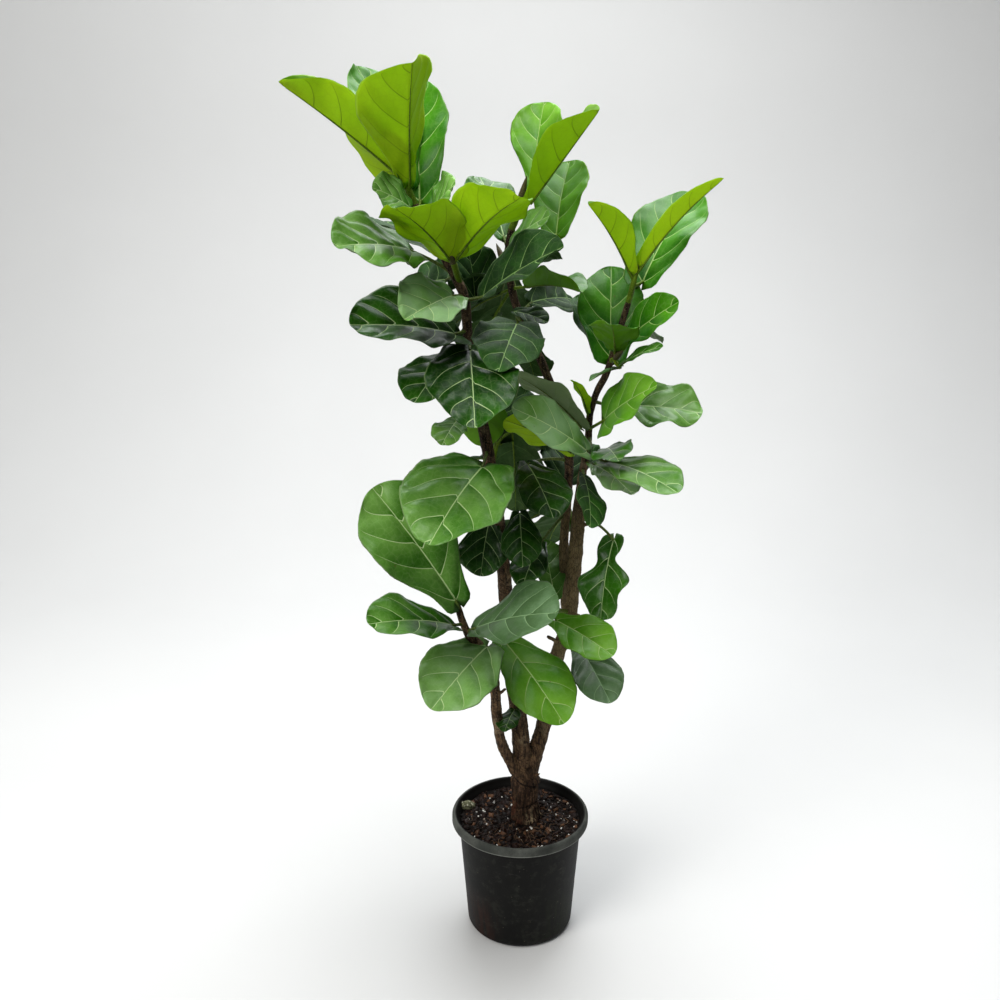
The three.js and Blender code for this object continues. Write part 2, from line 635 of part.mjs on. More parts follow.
// The midrib's point at a share s of the blade's length, with its direction and face there.
function midribAt(frame, leaf, s) {
  const arch = leaf.arch ?? ARCH;
  const centre = frame.foot.clone()
    .addScaledVector(frame.along, frame.length * s)
    .addScaledVector(frame.face, 4 * arch * frame.length * s * (1 - s));
  const slope = 4 * arch * (1 - 2 * s);
  const tangent = frame.along.clone().addScaledVector(frame.face, slope).normalize();
  const face = frame.side.clone().cross(tangent);
  return { centre, tangent, face };
}

// The stalk is a four-sided bar that widens into the first row of the blade's points.
function addStalk(points, faces, frame, count) {
  const towards = frame.foot.clone().sub(frame.start).normalize();
  const rings = [[frame.start, 1, STALK_RADIUS], [frame.foot, 0.5, STALK_RADIUS * 0.85]];
  const first = points.length;
  rings.forEach(([centre, bend, radius]) => {
    const heading = frame.along.clone().lerp(towards, bend).normalize();
    const turn = new THREE.Quaternion().setFromUnitVectors(frame.along, heading);
    const face = frame.face.clone().applyQuaternion(turn);
    const side = frame.side.clone().applyQuaternion(turn);
    const middle = centre.clone().addScaledVector(heading, bend === 1 ? 0 : -STALK_END);
    for (const quarter of [0, 1, 2, 3]) {
      const spoke = turned(face, side, quarter * Math.PI / 2);
      points.push(middle.clone().addScaledVector(spoke, radius));
    }
  });
  for (let j = 0; j < 4; j += 1) {
    const next = (j + 1) % 4;
    faces.push([first + j, first + next, first + 4 + next]);
    faces.push([first + j, first + 4 + next, first + 4 + j]);
  }
  faces.push([first, first + 3, first + 2], [first, first + 2, first + 1]);
  const [top, right, bottom, left] = [4, 5, 6, 7].map((j) => first + j);
  const over = [0, 1, 2, 3, 4];
  const under = over.map((j) => j + count);
  faces.push([top, over[3], over[2]], [top, right, over[3]], [right, over[4], over[3]]);
  faces.push([right, under[4], over[4]]);
  faces.push([bottom, under[2], under[3]], [bottom, under[3], right], [right, under[3], under[4]]);
  faces.push([bottom, under[1], under[2]], [bottom, left, under[1]], [left, under[0], under[1]]);
  faces.push([left, over[0], under[0]]);
  faces.push([top, over[2], over[1]], [top, over[1], left], [left, over[1], over[0]]);
}

// The blade's middle layer at a share s of its length and t of its half width, with its normal.
function bladeAt(frame, leaf, phase, s, t) {
  const rib = midribAt(frame, leaf, s);
  if (s === 1) {
    return { middle: rib.centre, normal: rib.face };
  }
  const sign = Math.sign(t);
  const half = sign < 0 ? 0 : 1;
  const rise = (leaf.fold ?? FOLD)[half] + (leaf.lift ?? LIFT)[half] * s;
  const fold = THREE.MathUtils.degToRad(rise);
  const outward = frame.side.clone().multiplyScalar(sign || 1);
  const reach = Math.abs(t) * 0.5 * leaf.width * bladeOutline(s, leaf);
  const swing = Math.sin(2 * Math.PI * WAVES * s + phase + sign);
  const ripple = (leaf.wave ?? WAVE) * leaf.width * t * t * Math.min(1, 3 * s) * swing;
  const back = 0.07 * frame.length * Math.abs(t) * Math.exp(-((s / 0.15) ** 2));
  const normal = t === 0 ? rib.face : turned(rib.face, outward, -fold);
  const middle = rib.centre
    .addScaledVector(turned(outward, rib.face, fold), reach)
    .addScaledVector(rib.tangent, -back)
    .addScaledVector(normal, ripple);
  return { middle, normal };
}

// Both faces of the blade have the same points and triangles, one thickness apart.
function leafGeometry(frame, leaf, phase) {
  const upper = [];
  const lower = [];
  const addPoint = (s, t) => {
    const { middle, normal } = bladeAt(frame, leaf, phase, s, t);
    const keel = t === 0 ? MIDRIB_DEPTH * (1 - s) : 0;
    upper.push(middle.clone().addScaledVector(normal, BLADE_THICKNESS / 2));
    lower.push(middle.clone().addScaledVector(normal, -BLADE_THICKNESS / 2 - keel));
  };
  BLADE_ROWS.forEach((s) => BLADE_COLUMNS.forEach((t) => addPoint(s, t)));
  addPoint(1, 0);
  const columns = BLADE_COLUMNS.length;
  const count = upper.length;
  const tip = count - 1;
  const faces = [];
  const addBoth = (a, b, c) => {
    faces.push([a, b, c]);
    faces.push([a + count, c + count, b + count]);
  };
  const addEdge = (a, b) => {
    faces.push([a, a + count, b + count]);
    faces.push([a, b + count, b]);
  };
  const last = BLADE_ROWS.length - 1;
  for (let i = 0; i < last; i += 1) {
    for (let j = 0; j + 1 < columns; j += 1) {
      const a = i * columns + j;
      const b = a + columns;
      if (j < columns / 2 - 1) {
        addBoth(a, a + 1, b);
        addBoth(a + 1, b + 1, b);
      } else {
        addBoth(a, b + 1, b);
        addBoth(a, a + 1, b + 1);
      }
    }
    addEdge((i + 1) * columns, i * columns);
    addEdge(i * columns + columns - 1, (i + 1) * columns + columns - 1);
  }
  for (let j = 0; j + 1 < columns; j += 1) {
    addBoth(last * columns + j, last * columns + j + 1, tip);
  }
  addEdge(tip, last * columns);
  addEdge(last * columns + columns - 1, tip);
  const points = [...upper, ...lower];
  addStalk(points, faces, frame, count);
  return geometryFrom(points, faces);
}

// ---------------------------------------------------------------- the plant put together

addPiece('pot', potGeometry(), 'pot');
addPiece('soil', mixGeometry(), 'soil');
addPiece('trunk', toGeometry(trunkSolid(0)), 'bark');

const clearTrunk = trunkSolid(FIT_GAP);
const random = seededRandom(5);

// The root of a stalk or shoot is cut to lie on the bark, and any scrap beyond it is dropped.
function clearOfTrunk(solid) {
  const pieces = solid.subtract(clearTrunk).decompose();
  return toGeometry(pieces.reduce((a, b) => (b.volume() > a.volume() ? b : a)));
}

// A young shoot runs into a pointed bud.
function shootSolid(rows) {
  const end = vector(rows.at(-1));
  const along = end.clone().sub(vector(rows.at(-2))).normalize();
  const bud = [0.35, 0.7, 1].map((share) => end.clone().addScaledVector(along, share * BUD_LENGTH));
  const radii = [...rows.map((row) => row[3]), BUD_RADIUS, BUD_RADIUS * 0.7, 0.8];
  return toSolid(tubeGeometry([...rows.map(vector), ...bud], radii, 6));
}

for (const [name, leaves] of Object.entries(LEAVES)) {
  const stem = stemRows(name);
  const solids = leaves.map((leaf) => {
    const phase = 2 * Math.PI * random();
    return toSolid(leafGeometry(leafFrame(leaf, stem), leaf, phase));
  });
  if (name in SHOOTS) {
    addPiece(name, clearOfTrunk(union([shootSolid(stem), ...solids])), leaves[0].tone);
  } else {
    solids.forEach((solid, i) => {
      const number = String(i + 1).padStart(2, '0');
      addPiece(`${name}_${number}`, clearOfTrunk(solid), leaves[i].tone);
    });
  }
}

export default group;
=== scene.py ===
"""A potted fiddle leaf fig: black nursery pot, bark mix, branched trunk, young shoots and waved leaves.

The tables hold the plant's own dimensions in millimetres. Everything made from them is in metres.
"""

import math
import random

import bmesh
import bpy
from mathutils import Matrix, Vector


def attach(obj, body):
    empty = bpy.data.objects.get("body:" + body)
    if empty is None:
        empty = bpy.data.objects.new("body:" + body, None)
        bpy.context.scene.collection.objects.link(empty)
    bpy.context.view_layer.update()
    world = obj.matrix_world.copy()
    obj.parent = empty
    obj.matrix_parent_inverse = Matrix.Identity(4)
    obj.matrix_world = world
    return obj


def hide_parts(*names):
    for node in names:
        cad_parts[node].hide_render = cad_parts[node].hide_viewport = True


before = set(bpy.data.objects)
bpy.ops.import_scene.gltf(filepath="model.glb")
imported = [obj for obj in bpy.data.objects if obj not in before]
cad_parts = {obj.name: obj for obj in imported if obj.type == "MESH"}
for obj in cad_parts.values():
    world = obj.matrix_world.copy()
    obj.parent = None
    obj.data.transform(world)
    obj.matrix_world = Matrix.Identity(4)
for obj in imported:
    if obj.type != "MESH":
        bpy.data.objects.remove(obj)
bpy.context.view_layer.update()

MM = 0.001
TURN = 2 * math.pi

# ------------------------ dimensions, in millimetres

POT_HEIGHT = 245
POT_RIM_RADIUS = 135
POT_RIM_FOOT = 227
POT_ROLL = 6
POT_MOUTH_RADIUS = 125
POT_SHOULDER_RADIUS = 121
POT_FOOT_RADIUS = 105
POT_CORNER = 14
POT_WALL = 2.5
POT_FLOOR = 7
DRAIN_HOLES = 8
DRAIN_HOLE_RADIUS = 7
DRAIN_CIRCLE_RADIUS = 58

SOIL_TOP = 226
SOIL_MOUND = 5
SOIL_EDGE_RADIUS = 117
SOIL_SIDE_TOP = 213
SOIL_WALL_GAP = 3.3
SOIL_RINGS = 60
MOSS_LUMP = (-106, 38, 230)
FIBRES = 70
LUMP_KINDS = 4

LIMB_POINT_GAP = 9
LIMB_SIDES = 20
BARK_VOXEL = 2.3
BUD_LENGTH = 42
BUD_RADIUS = 5.5
# Shares of a bud's length, and of its radius there.
BUD_SHAPE = [
    (-0.12, 0.86), (0.06, 1.08), (0.2, 1.12), (0.4, 0.98), (0.6, 0.76), (0.8, 0.46), (0.94, 0.2),
    (1.0, 0.05),
]
# The same for the stub of a twig.
STUB_SHAPE = [(0.0, 1.3), (0.3, 1.1), (0.6, 1.0), (0.85, 0.95), (1.0, 0.7)]

BLADE_COLUMNS = 41
BLADE_ROWS = 60
SMALL_BLADE_COLUMNS = 25
SMALL_BLADE_ROWS = 36
BLADE_THICKNESS = 0.9
SMALL_BLADE = 60
# Waves along one side of a blade: long ones over the whole half, short ones along its edge.
LONG_WAVES = 2.2
SHORT_WAVES = 6.5
STALK_RADIUS = 3.1
# How far a stalk turns up from the line to its blade's tip.
STALK_RISE = 0.3

# Each limb is a smooth curve through points (x, y, z, radius).
LIMBS = {
    "bole": [
        (10, 0, 110, 24), (11, 0, 185, 25), (12, 0, 226, 30), (11, 0, 252, 27),
        (10, 0, 285, 26), (9, 1, 318, 27), (8, 2, 345, 20),
    ],
    "left": [
        (8, 0, 308, 13), (-8, -5, 338, 12), (-27, -13, 378, 11), (-40, -28, 424, 10),
        (-46, -42, 484, 10), (-49, -52, 535, 9.5), (-56, -62, 591, 10), (-70, -76, 632, 9),
        (-94, -90, 661, 8), (-108, -100, 698, 7), (-116, -105, 731, 5.5),
    ],
    "middle": [
        (8, 1, 305, 18), (4, 5, 350, 17.5), (0, 6, 410, 17), (-5, 8, 458, 16.5),
        (-14, 10, 520, 15.5), (-24, 14, 607, 14.5), (-30, 15, 710, 13.5), (-36, 12, 791, 13),
        (-46, 8, 870, 12), (-63, 0, 992, 11), (-82, -8, 1089, 10), (-95, -15, 1187, 9),
        (-100, -22, 1257, 8.5), (-113, -30, 1292, 8), (-136, -38, 1335, 7.5),
        (-160, -45, 1379, 7), (-182, -50, 1420, 6.5),
    ],
    "right": [
        (12, 2, 305, 18), (24, 12, 350, 16.5), (43, 25, 410, 15), (60, 36, 480, 14.5),
        (71, 45, 560, 14), (92, 50, 628, 14.5), (98, 52, 705, 14.5), (104, 52, 786, 14),
        (108, 50, 857, 12.5), (112, 46, 925, 8), (121, 41, 985, 7), (123, 38, 1042, 6.5),
        (134, 32, 1085, 6.5), (149, 28, 1117, 6.5), (160, 24, 1154, 6), (171, 20, 1199, 6),
        (184, 15, 1250, 5.5),
    ],
    "back": [
        (88, 51, 650, 10), (84, 64, 705, 9.5), (82, 76, 780, 9), (88, 90, 870, 8.5),
        (90, 97, 940, 8.5), (76, 102, 1017, 8), (43, 102, 1112, 8), (9, 96, 1187, 7.5),
        (-14, 86, 1243, 7.5), (-26, 73, 1315, 7), (-20, 60, 1371, 6.5),
    ],
}

# Young green shoots, each ending in a bud.
SHOOTS = {
    "crown_left": [(-178, -49, 1412, 6), (-189, -53, 1438, 6), (-196, -56, 1462, 5)],
    "crown_spur": [(-108, -27, 1284, 5.5), (-113, -42, 1305, 5.5), (-118, -55, 1325, 5)],
    "crown_back": [(-22, 62, 1364, 6), (-11, 55, 1392, 6), (-4, 50, 1420, 5)],
    "crown_right": [(182, 16, 1242, 5), (189, 12, 1272, 5), (195, 9, 1303, 4.5)],
    "rear_low": [(103, 58, 798, 5.5), (96, 95, 830, 5), (82, 130, 862, 4.5)],
    "rear_middle": [(-53, 6, 925, 5.5), (-53, 45, 950, 5), (-45, 85, 985, 4.5)],
    "rear_top": [(-12, 90, 1238, 5.5), (-18, 128, 1270, 5), (-34, 162, 1305, 4.5)],
    "twig_low": [(90, 48, 652, 5), (78, 22, 664, 4.5), (66, 4, 676, 4)],
    "twig_right": [(158, 27, 1143, 5), (160, 6, 1149, 4), (163, -8, 1156, 3.5)],
}

# Stubs of old twigs: limb, height on it, where the stub ends, radius.
STUBS = [
    ("bole", 318, (38, -18, 338), 3.5),
    ("left", 520, (-30, -72, 548), 3),
    ("right", 585, (50, 22, 612), 4),
    ("right", 640, (112, 32, 650), 5),
    ("middle", 560, (-44, -2, 578), 3.5),
    ("right", 825, (146, 30, 838), 3),
    ("middle", 735, (-8, -4, 752), 3.5),
]

# A plain leaf. fold and lift are degrees, as roll is, and the others are shares of the blade. The
# pairs are for its two halves, and lift adds to their fold towards the tip. A larger widest moves
# the widest place towards the tip.
PLAIN_LEAF = dict(arch=0.05, fold=(10, 10), lift=(0, 0), widest=1.35, waist=0.05, wave=0.05)


def leaf(at, root, tip, width, tone, roll=0, **traits):
    """A leaf: how high it leaves its stem, its stalk's length or the point where its blade starts,
    its tip and width, its tone, how far it is rolled, and how it differs from a plain leaf."""
    given = dict(at=at, root=root, tip=tip, width=width, tone=tone, roll=roll)
    return PLAIN_LEAF | given | traits


# The leaves of each shoot and limb.
LEAVES = {
    "crown_left": [
        leaf(1436, 22, (-171, -179, 1626), 168, "young", 15,
             arch=0.04, fold=(50, 14), widest=1.75, wave=0.03),
        leaf(1448, 28, (-372, -154, 1601), 136, "young", 25,
             arch=0.02, fold=(24, -10), lift=(4, 140), widest=0.8),
        leaf(1430, 25, (-274, 20, 1632), 150, "fresh", 5, fold=(12, 12), wave=0.04),
    ],
    "crown_spur": [
        leaf(1318, 20, (-198, -182, 1418), 142, "young", 10, fold=(20, 16), widest=1.1),
        leaf(1322, 24, (-11, -197, 1435), 136, "young", -15, arch=0.06, fold=(20, 36), widest=1.1),
    ],
    "crown_back": [
        leaf(1398, (19, 60, 1439), (36, 100, 1578), 108, "pale", -10,
             fold=(12, 12), widest=1.9, wave=0.04),
        leaf(1404, (12, 42, 1415), (115, -78, 1562), 130, "young",
             arch=0.0, fold=(55, 14), widest=1.7, wave=0.02),
    ],
    "crown_right": [
        leaf(1284, 22, (106, -58, 1417), 84, "young", -5, arch=0.04, fold=(45, 45), wave=0.03),
        leaf(1278, (207, 23, 1281), (306, 131, 1425), 142, "fresh", 5,
             fold=(14, 14), widest=1.15, wave=0.03),
        leaf(1292, 25, (315, -97, 1458), 56, "young", -5,
             arch=0.04, fold=(62, 62), widest=0.9, wave=0.03),
    ],
    "rear_low": [
        leaf(846, 35, (-12, 200, 753), 130, "inner", arch=0.08),
        leaf(830, 35, (59, 240, 719), 130, "inner", arch=0.08),
        leaf(858, 30, (109, 220, 948), 125, "inner"),
    ],
    "rear_middle": [
        leaf(955, 35, (-139, 190, 878), 125, "inner", arch=0.08),
        leaf(975, 35, (-10, 250, 894), 135, "inner", arch=0.08),
        leaf(982, 30, (-17, 180, 1061), 120, "inner"),
        leaf(975, (-17, 100, 998), (-9, 150, 824), 122, "inner"),
    ],
    "rear_top": [
        leaf(1258, 35, (-150, 200, 1150), 145, "inner", arch=0.08),
        leaf(1278, 30, (-130, 170, 1250), 125, "inner", arch=0.08),
        leaf(1290, 35, (-44, 260, 1156), 130, "inner", arch=0.08),
        leaf(1300, 30, (47, 260, 1292), 125, "inner"),
        leaf(1290, (-86, 135, 1236), (-102, 150, 1338), 120, "inner"),
        leaf(1262, (-51, 130, 1207), (-86, 175, 1132), 115, "inner"),
        leaf(1250, (1, 120, 1155), (25, 160, 1089), 92, "inner"),
    ],
    "twig_low": [
        leaf(668, (62, -30, 668), (159, -135, 646), 92, "pale", 25),
        leaf(674, (62, 22, 694), (40, 130, 773), 82, "light", 10),
    ],
    "twig_right": [
        leaf(1154, 24, (144, -110, 1228), 88, "fresh", -5),
        leaf(1152, (164, -22, 1141), (229, -102, 1190), 42, "mid", 30),
        leaf(1147, (171, -14, 1140), (115, -66, 1126), 36, "mid", 20),
    ],
    "leaf_middle": [
        leaf(1408, (-172, -40, 1421), (-178, 105, 1612), 112, "fresh", -15, widest=1.1, wave=0.04),
        leaf(1395, (-184, -82, 1414), (-241, -122, 1447), 86, "light", -50),
        leaf(1388, (-153, -64, 1405), (-112, -98, 1452), 92, "light", 50),
        leaf(1300, (-186, -60, 1345), (-293, -190, 1363), 150, "light", -35, fold=(12, 4), widest=1.0),
        leaf(1318, 35, (-250, 124, 1377), 125, "inner"),
        leaf(1258, (-72, -42, 1264), (59, -134, 1356), 122, "inner", 60, fold=(8, 40)),
        leaf(1262, 35, (-190, -180, 1249), 122, "grey", -42, fold=(35, 8), widest=1.15),
        leaf(1205, (-114, -38, 1202), (-277, -163, 1237), 156, "dark", -45,
             fold=(30, 2), widest=1.0, wave=0.04),
        leaf(1300, (-131, -2, 1290), (-215, 138, 1248), 120, "inner", -40),
        leaf(1160, (-122, -10, 1158), (-180, -144, 1107), 112, "dark", -10, wave=0.03),
        leaf(1180, (-91, -60, 1181), (-80, -224, 1085), 158, "dark", widest=1.0, wave=0.04),
        leaf(1060, (-112, -30, 1052), (-138, -111, 1025), 62, "light", -5),
        leaf(1110, (-74, 28, 1097), (-73, 58, 980), 95, "fresh"),
        leaf(990, (-70, -40, 969), (-154, -238, 893), 200, "light", -8,
             fold=(10, 14), widest=0.95, wave=0.04),
        leaf(830, (-60, 10, 848), (-75, -38, 760), 98, "dark"),
        leaf(790, (-4, -5, 869), (1, -75, 792), 76, "dark", 5),
        leaf(640, (-34, -30, 628), (73, -151, 522), 130, "pale", 15, wave=0.03),
        leaf(470, 15, (-31, -76, 462), 50, "dark", 10),
    ],
    "leaf_left": [
        leaf(716, (-116, -112, 738), (-260, -75, 934), 173, "light", -45, widest=1.55, wave=0.03),
        leaf(690, (-122, -119, 697), (-255, -250, 756), 118, "mid", -22, widest=1.4, wave=0.03),
        leaf(673, (-86, -110, 687), (56, -208, 758), 148, "dull", 30, widest=1.6, wave=0.03),
        leaf(630, (-62, -85, 642), (-155, -244, 598), 140, "grey", -20, widest=1.15, wave=0.03),
    ],
    "leaf_back": [
        leaf(1330, 30, (-77, 211, 1450), 102, "mid", 5),
        leaf(1340, (59, 72, 1357), (88, 193, 1479), 108, "lively", -15, widest=1.2, wave=0.03),
        leaf(1322, (-23, 40, 1344), (41, -50, 1399), 70, "light", 55),
        leaf(1263, (10, 55, 1271), (94, -80, 1278), 88, "fresh", 10, fold=(12, 62)),
        leaf(1213, (17, 130, 1233), (101, 244, 1223), 100, "inner", 35),
        leaf(1200, (-15, 55, 1227), (43, 20, 1213), 50, "inner", 25),
        leaf(1150, (-10, 0, 1215), (-42, -150, 1160), 126, "inner", -10, widest=1.0),
        leaf(1085, (92, 45, 970), (-29, 30, 1034), 105, "young", 45),
        leaf(940, (10, 50, 948), (53, -80, 886), 106, "dark"),
        leaf(840, (35, 35, 796), (1, -67, 750), 72, "dark"),
    ],
    "leaf_right": [
        leaf(1000, (116, -34, 992), (-18, -118, 1090), 94, "grey", -55, wave=0.03),
        leaf(1030, (107, 12, 1026), (-16, -70, 1139), 88, "grey", 15),
        leaf(935, (112, 0, 938), (116, -116, 880), 66, "inner", -35),
        leaf(952, (155, 26, 983), (163, -105, 995), 78, "mid", 20),
        leaf(965, (151, -6, 967), (257, -154, 954), 105, "light", 10, wave=0.03),
        leaf(950, 30, (191, -80, 928), 85, "grey", 5),
        leaf(1160, (156, 30, 1146), (161, 110, 1297), 120, "fresh", widest=1.15, wave=0.03),
        leaf(1134, (141, 64, 1148), (122, 177, 1236), 100, "inner", 15),
        leaf(1205, (177, -2, 1180), (255, -83, 1262), 80, "fresh", 70, fold=(10, 22), wave=0.04),
        leaf(1205, (228, 44, 1196), (235, 120, 1172), 58, "mid", 45),
        leaf(1035, 18, (88, -13, 1115), 42, "young", -20),
        leaf(1015, (144, -12, 1044), (221, -108, 1126), 108, "pale", 58, widest=0.7),
        leaf(1068, (167, 24, 1061), (314, -20, 1059), 120, "light", 28, wave=0.08),
        leaf(845, (173, 35, 806), (145, -49, 678), 98, "mid", 18, widest=1.2, waist=0.4, wave=0.11),
        leaf(600, (113, 10, 593), (160, -113, 542), 96, "dull", 10, widest=1.3, wave=0.03),
    ],
}

# Shade of each tone in its own finish, from 0 for dark to 1 for light.
# grey is the tone that carries a painted sheen, and inner is painted shade for leaves deep in the
# foliage.
TONES = {
    "dark": 0.08, "mid": 0.45, "light": 0.74, "grey": 1.0, "fresh": 0.22, "pale": 0.74,
    "inner": 0.04, "dull": 0.45, "lively": 0.08, "young": 0.85,
}
YOUNG_TONES = ("fresh", "pale", "lively", "young")

# ------------------------ node trees


def arithmetic(operation, turned=False):
    """A method that adds a Math node for a value and others. Turned, the value comes last."""

    def method(self, *others):
        values = (*others, self) if turned else (self, *others)
        return self.graph.math(operation, *values)

    return method


class Value:
    """A number in a node tree. Arithmetic on it adds Math nodes to the tree."""

    def __init__(self, graph, socket):
        self.graph = graph
        self.socket = socket

    def math(self, operation, *others):
        return self.graph.math(operation, self, *others)

    __add__ = __radd__ = arithmetic("ADD")
    __sub__ = arithmetic("SUBTRACT")
    __rsub__ = arithmetic("SUBTRACT", turned=True)
    __mul__ = __rmul__ = arithmetic("MULTIPLY")
    __truediv__ = arithmetic("DIVIDE")
    __rtruediv__ = arithmetic("DIVIDE", turned=True)
    __pow__ = arithmetic("POWER")
    __abs__ = arithmetic("ABSOLUTE")
    most = arithmetic("MINIMUM")
    least = arithmetic("MAXIMUM")

    def __neg__(self):
        return self * -1.0

    def bell(self, width):
        """1 at zero, falling to 0 over about twice the width either side."""
        share = self / width
        return (-(share * share)).math("EXPONENT")

    def step(self, start, end):
        """Goes smoothly from 0 at start to 1 at end, upwards or downwards."""
        inputs = {"Value": self, "From Min": start, "From Max": end}
        node = self.graph.add("ShaderNodeMapRange", inputs, interpolation_type="SMOOTHSTEP")
        return self.graph.output(node, "Result")


class Graph:
    """Adds nodes to a tree and joins them."""

    def __init__(self, tree):
        self.tree = tree

    def add(self, kind, inputs=None, **settings):
        node = self.tree.nodes.new(kind)
        for name, value in settings.items():
            setattr(node, name, value)
        for key, value in (inputs or {}).items():
            if isinstance(key, int):
                socket = node.inputs[key]
            else:
                socket = next(s for s in node.inputs if s.name == key and s.enabled)
            self.feed(socket, value)
        return node

    def feed(self, socket, value):
        if isinstance(value, Value):
            value = value.socket
        if isinstance(value, bpy.types.NodeSocket):
            self.tree.links.new(value, socket)
        elif isinstance(value, bpy.types.Node):
            self.tree.links.new(value.outputs[0], socket)
        else:
            socket.default_value = value

    def output(self, node, name):
        return Value(self, next(s for s in node.outputs if s.name == name and s.enabled))

    def math(self, operation, *values):
        inputs = dict(enumerate(values))
        return Value(self, self.add("ShaderNodeMath", inputs, operation=operation).outputs[0])

    def vector(self, x, y, z):
        return self.add("ShaderNodeCombineXYZ", {"X": x, "Y": y, "Z": z}).outputs[0]

    def parts(self, vector):
        node = self.add("ShaderNodeSeparateXYZ", {"Vector": vector})
        return [Value(self, socket) for socket in node.outputs]

    def vector_math(self, operation, *values):
        inputs = dict(enumerate(values))
        return self.add("ShaderNodeVectorMath", inputs, operation=operation).outputs[0]

    def scaled(self, vector, factor):
        inputs = {"Vector": vector, "Scale": factor}
        return self.add("ShaderNodeVectorMath", inputs, operation="SCALE").outputs[0]

    def noise(self, vector, scale, detail=3.0, roughness=0.5):
        inputs = {"Vector": vector, "Scale": scale, "Detail": detail, "Roughness": roughness}
        return self.output(self.add("ShaderNodeTexNoise", inputs), "Fac")

    def cells(self, vector, scale, feature="F1"):
        inputs = {"Vector": vector, "Scale": scale}
        return self.output(self.add("ShaderNodeTexVoronoi", inputs, feature=feature), "Distance")

    def stretched(self, vector, x, y, z):
        return self.vector_math("MULTIPLY", vector, (x, y, z))


class Shape(Graph):
    """A Geometry Nodes tree with named inputs."""

    def __init__(self, name, inputs, takes_geometry=False):
        super().__init__(bpy.data.node_groups.new(name, "GeometryNodeTree"))
        kinds = {float: "NodeSocketFloat", int: "NodeSocketInt", tuple: "NodeSocketVector"}
        sockets = self.tree.interface
        sockets.new_socket("Geometry", in_out="OUTPUT", socket_type="NodeSocketGeometry")
        if takes_geometry:
            sockets.new_socket("Geometry", in_out="INPUT", socket_type="NodeSocketGeometry")
        for label, default in inputs.items():
            kind = kinds.get(type(default), "NodeSocketMaterial")
            socket = sockets.new_socket(label, in_out="INPUT", socket_type=kind)
            if default is not None:
                socket.default_value = default
        self.entry = self.add("NodeGroupInput")
        self.given = self.entry.outputs.get("Geometry")

    def __getitem__(self, label):
        return Value(self, self.entry.outputs[label])

    def position(self):
        return self.add("GeometryNodeInputPosition").outputs[0]

    def normal(self):
        return self.add("GeometryNodeInputNormal").outputs[0]

    def moved(self, geometry, position=None, offset=None):
        inputs = {"Geometry": geometry}
        if position is not None:
            inputs["Position"] = position
        if offset is not None:
            inputs["Offset"] = offset
        return self.add("GeometryNodeSetPosition", inputs)

    def stored(self, geometry, name, value, domain="POINT"):
        inputs = {"Geometry": geometry, "Name": name, "Value": value}
        kind = "GeometryNodeStoreNamedAttribute"
        return self.add(kind, inputs, data_type="FLOAT_VECTOR", domain=domain)

    def read(self, name):
        return self.output(self.add("GeometryNodeInputNamedAttribute", {"Name": name}), "Attribute")

    def joined(self, *geometries):
        node = self.add("GeometryNodeJoinGeometry")
        for geometry in geometries:
            self.feed(node.inputs[0], geometry)
        return node

    def random(self, low, high, seed):
        inputs = {"Min": low, "Max": high, "Seed": seed}
        return self.output(self.add("FunctionNodeRandomValue", inputs), "Value")

    def tube(self, curve, girth, sides):
        profile = self.add("GeometryNodeCurvePrimitiveCircle", {"Resolution": sides, "Radius": 1.0})
        inputs = {"Curve": curve, "Profile Curve": profile, "Scale": girth, "Fill Caps": True}
        return self.add("GeometryNodeCurveToMesh", inputs)

    def grid(self, width, columns, rows):
        counts = {"Vertices X": columns, "Vertices Y": rows}
        return self.add("GeometryNodeMeshGrid", {"Size X": width, "Size Y": 1.0} | counts).outputs[0]

    def welded(self, geometry, distance):
        inputs = {"Geometry": geometry, "Distance": distance}
        return self.add("GeometryNodeMergeByDistance", inputs)

    def dressed(self, geometry, material):
        return self.add("GeometryNodeSetMaterial", {"Geometry": geometry, "Material": material})

    def finish(self, geometry, material=None):
        """Every tree ends in real, smooth, dressed faces."""
        real = self.add("GeometryNodeRealizeInstances", {"Geometry": geometry})
        smooth = self.add("GeometryNodeSetShadeSmooth", {"Geometry": real})
        if material is not None:
            smooth = self.dressed(smooth, material)
        self.add("NodeGroupOutput", {0: smooth})
        return self.tree


def piece(name, mesh=None):
    ob = bpy.data.objects.new(name, mesh or bpy.data.meshes.new(name))
    bpy.context.scene.collection.objects.link(ob)
    return ob


def shape_by(ob, tree, inputs):
    """Puts a tree on an object and sets its named inputs."""
    modifier = ob.modifiers.new(tree.name, "NODES")
    modifier.node_group = tree
    for item in tree.interface.items_tree:
        if item.item_type == "SOCKET" and item.in_out == "INPUT" and item.name in inputs:
            modifier[item.identifier] = inputs[item.name]
    return ob


def settle(objects):
    """Turns what each object's modifiers give into its plain mesh."""
    bpy.context.view_layer.update()
    graph = bpy.context.evaluated_depsgraph_get()
    meshes = [
        bpy.data.meshes.new_from_object(
            ob.evaluated_get(graph), preserve_all_data_layers=True, depsgraph=graph
        )
        for ob in objects
    ]
    for ob, made in zip(objects, meshes):
        ob.modifiers.clear()
        ob.data = made
        made.name = ob.name
    return objects


def join(objects, name):
    """One object from several, named and at the origin."""
    first = objects[0]
    if len(objects) > 1:
        with bpy.context.temp_override(active_object=first, selected_editable_objects=objects):
            bpy.ops.object.join()
    first.name = name
    first.data.name = name
    return first


def hand_over(ob, slot, *nodes):
    """The finished piece rides on the plant and stands for its CAD nodes."""
    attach(ob, "root")
    if nodes:
        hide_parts(*nodes)


# ------------------------ materials


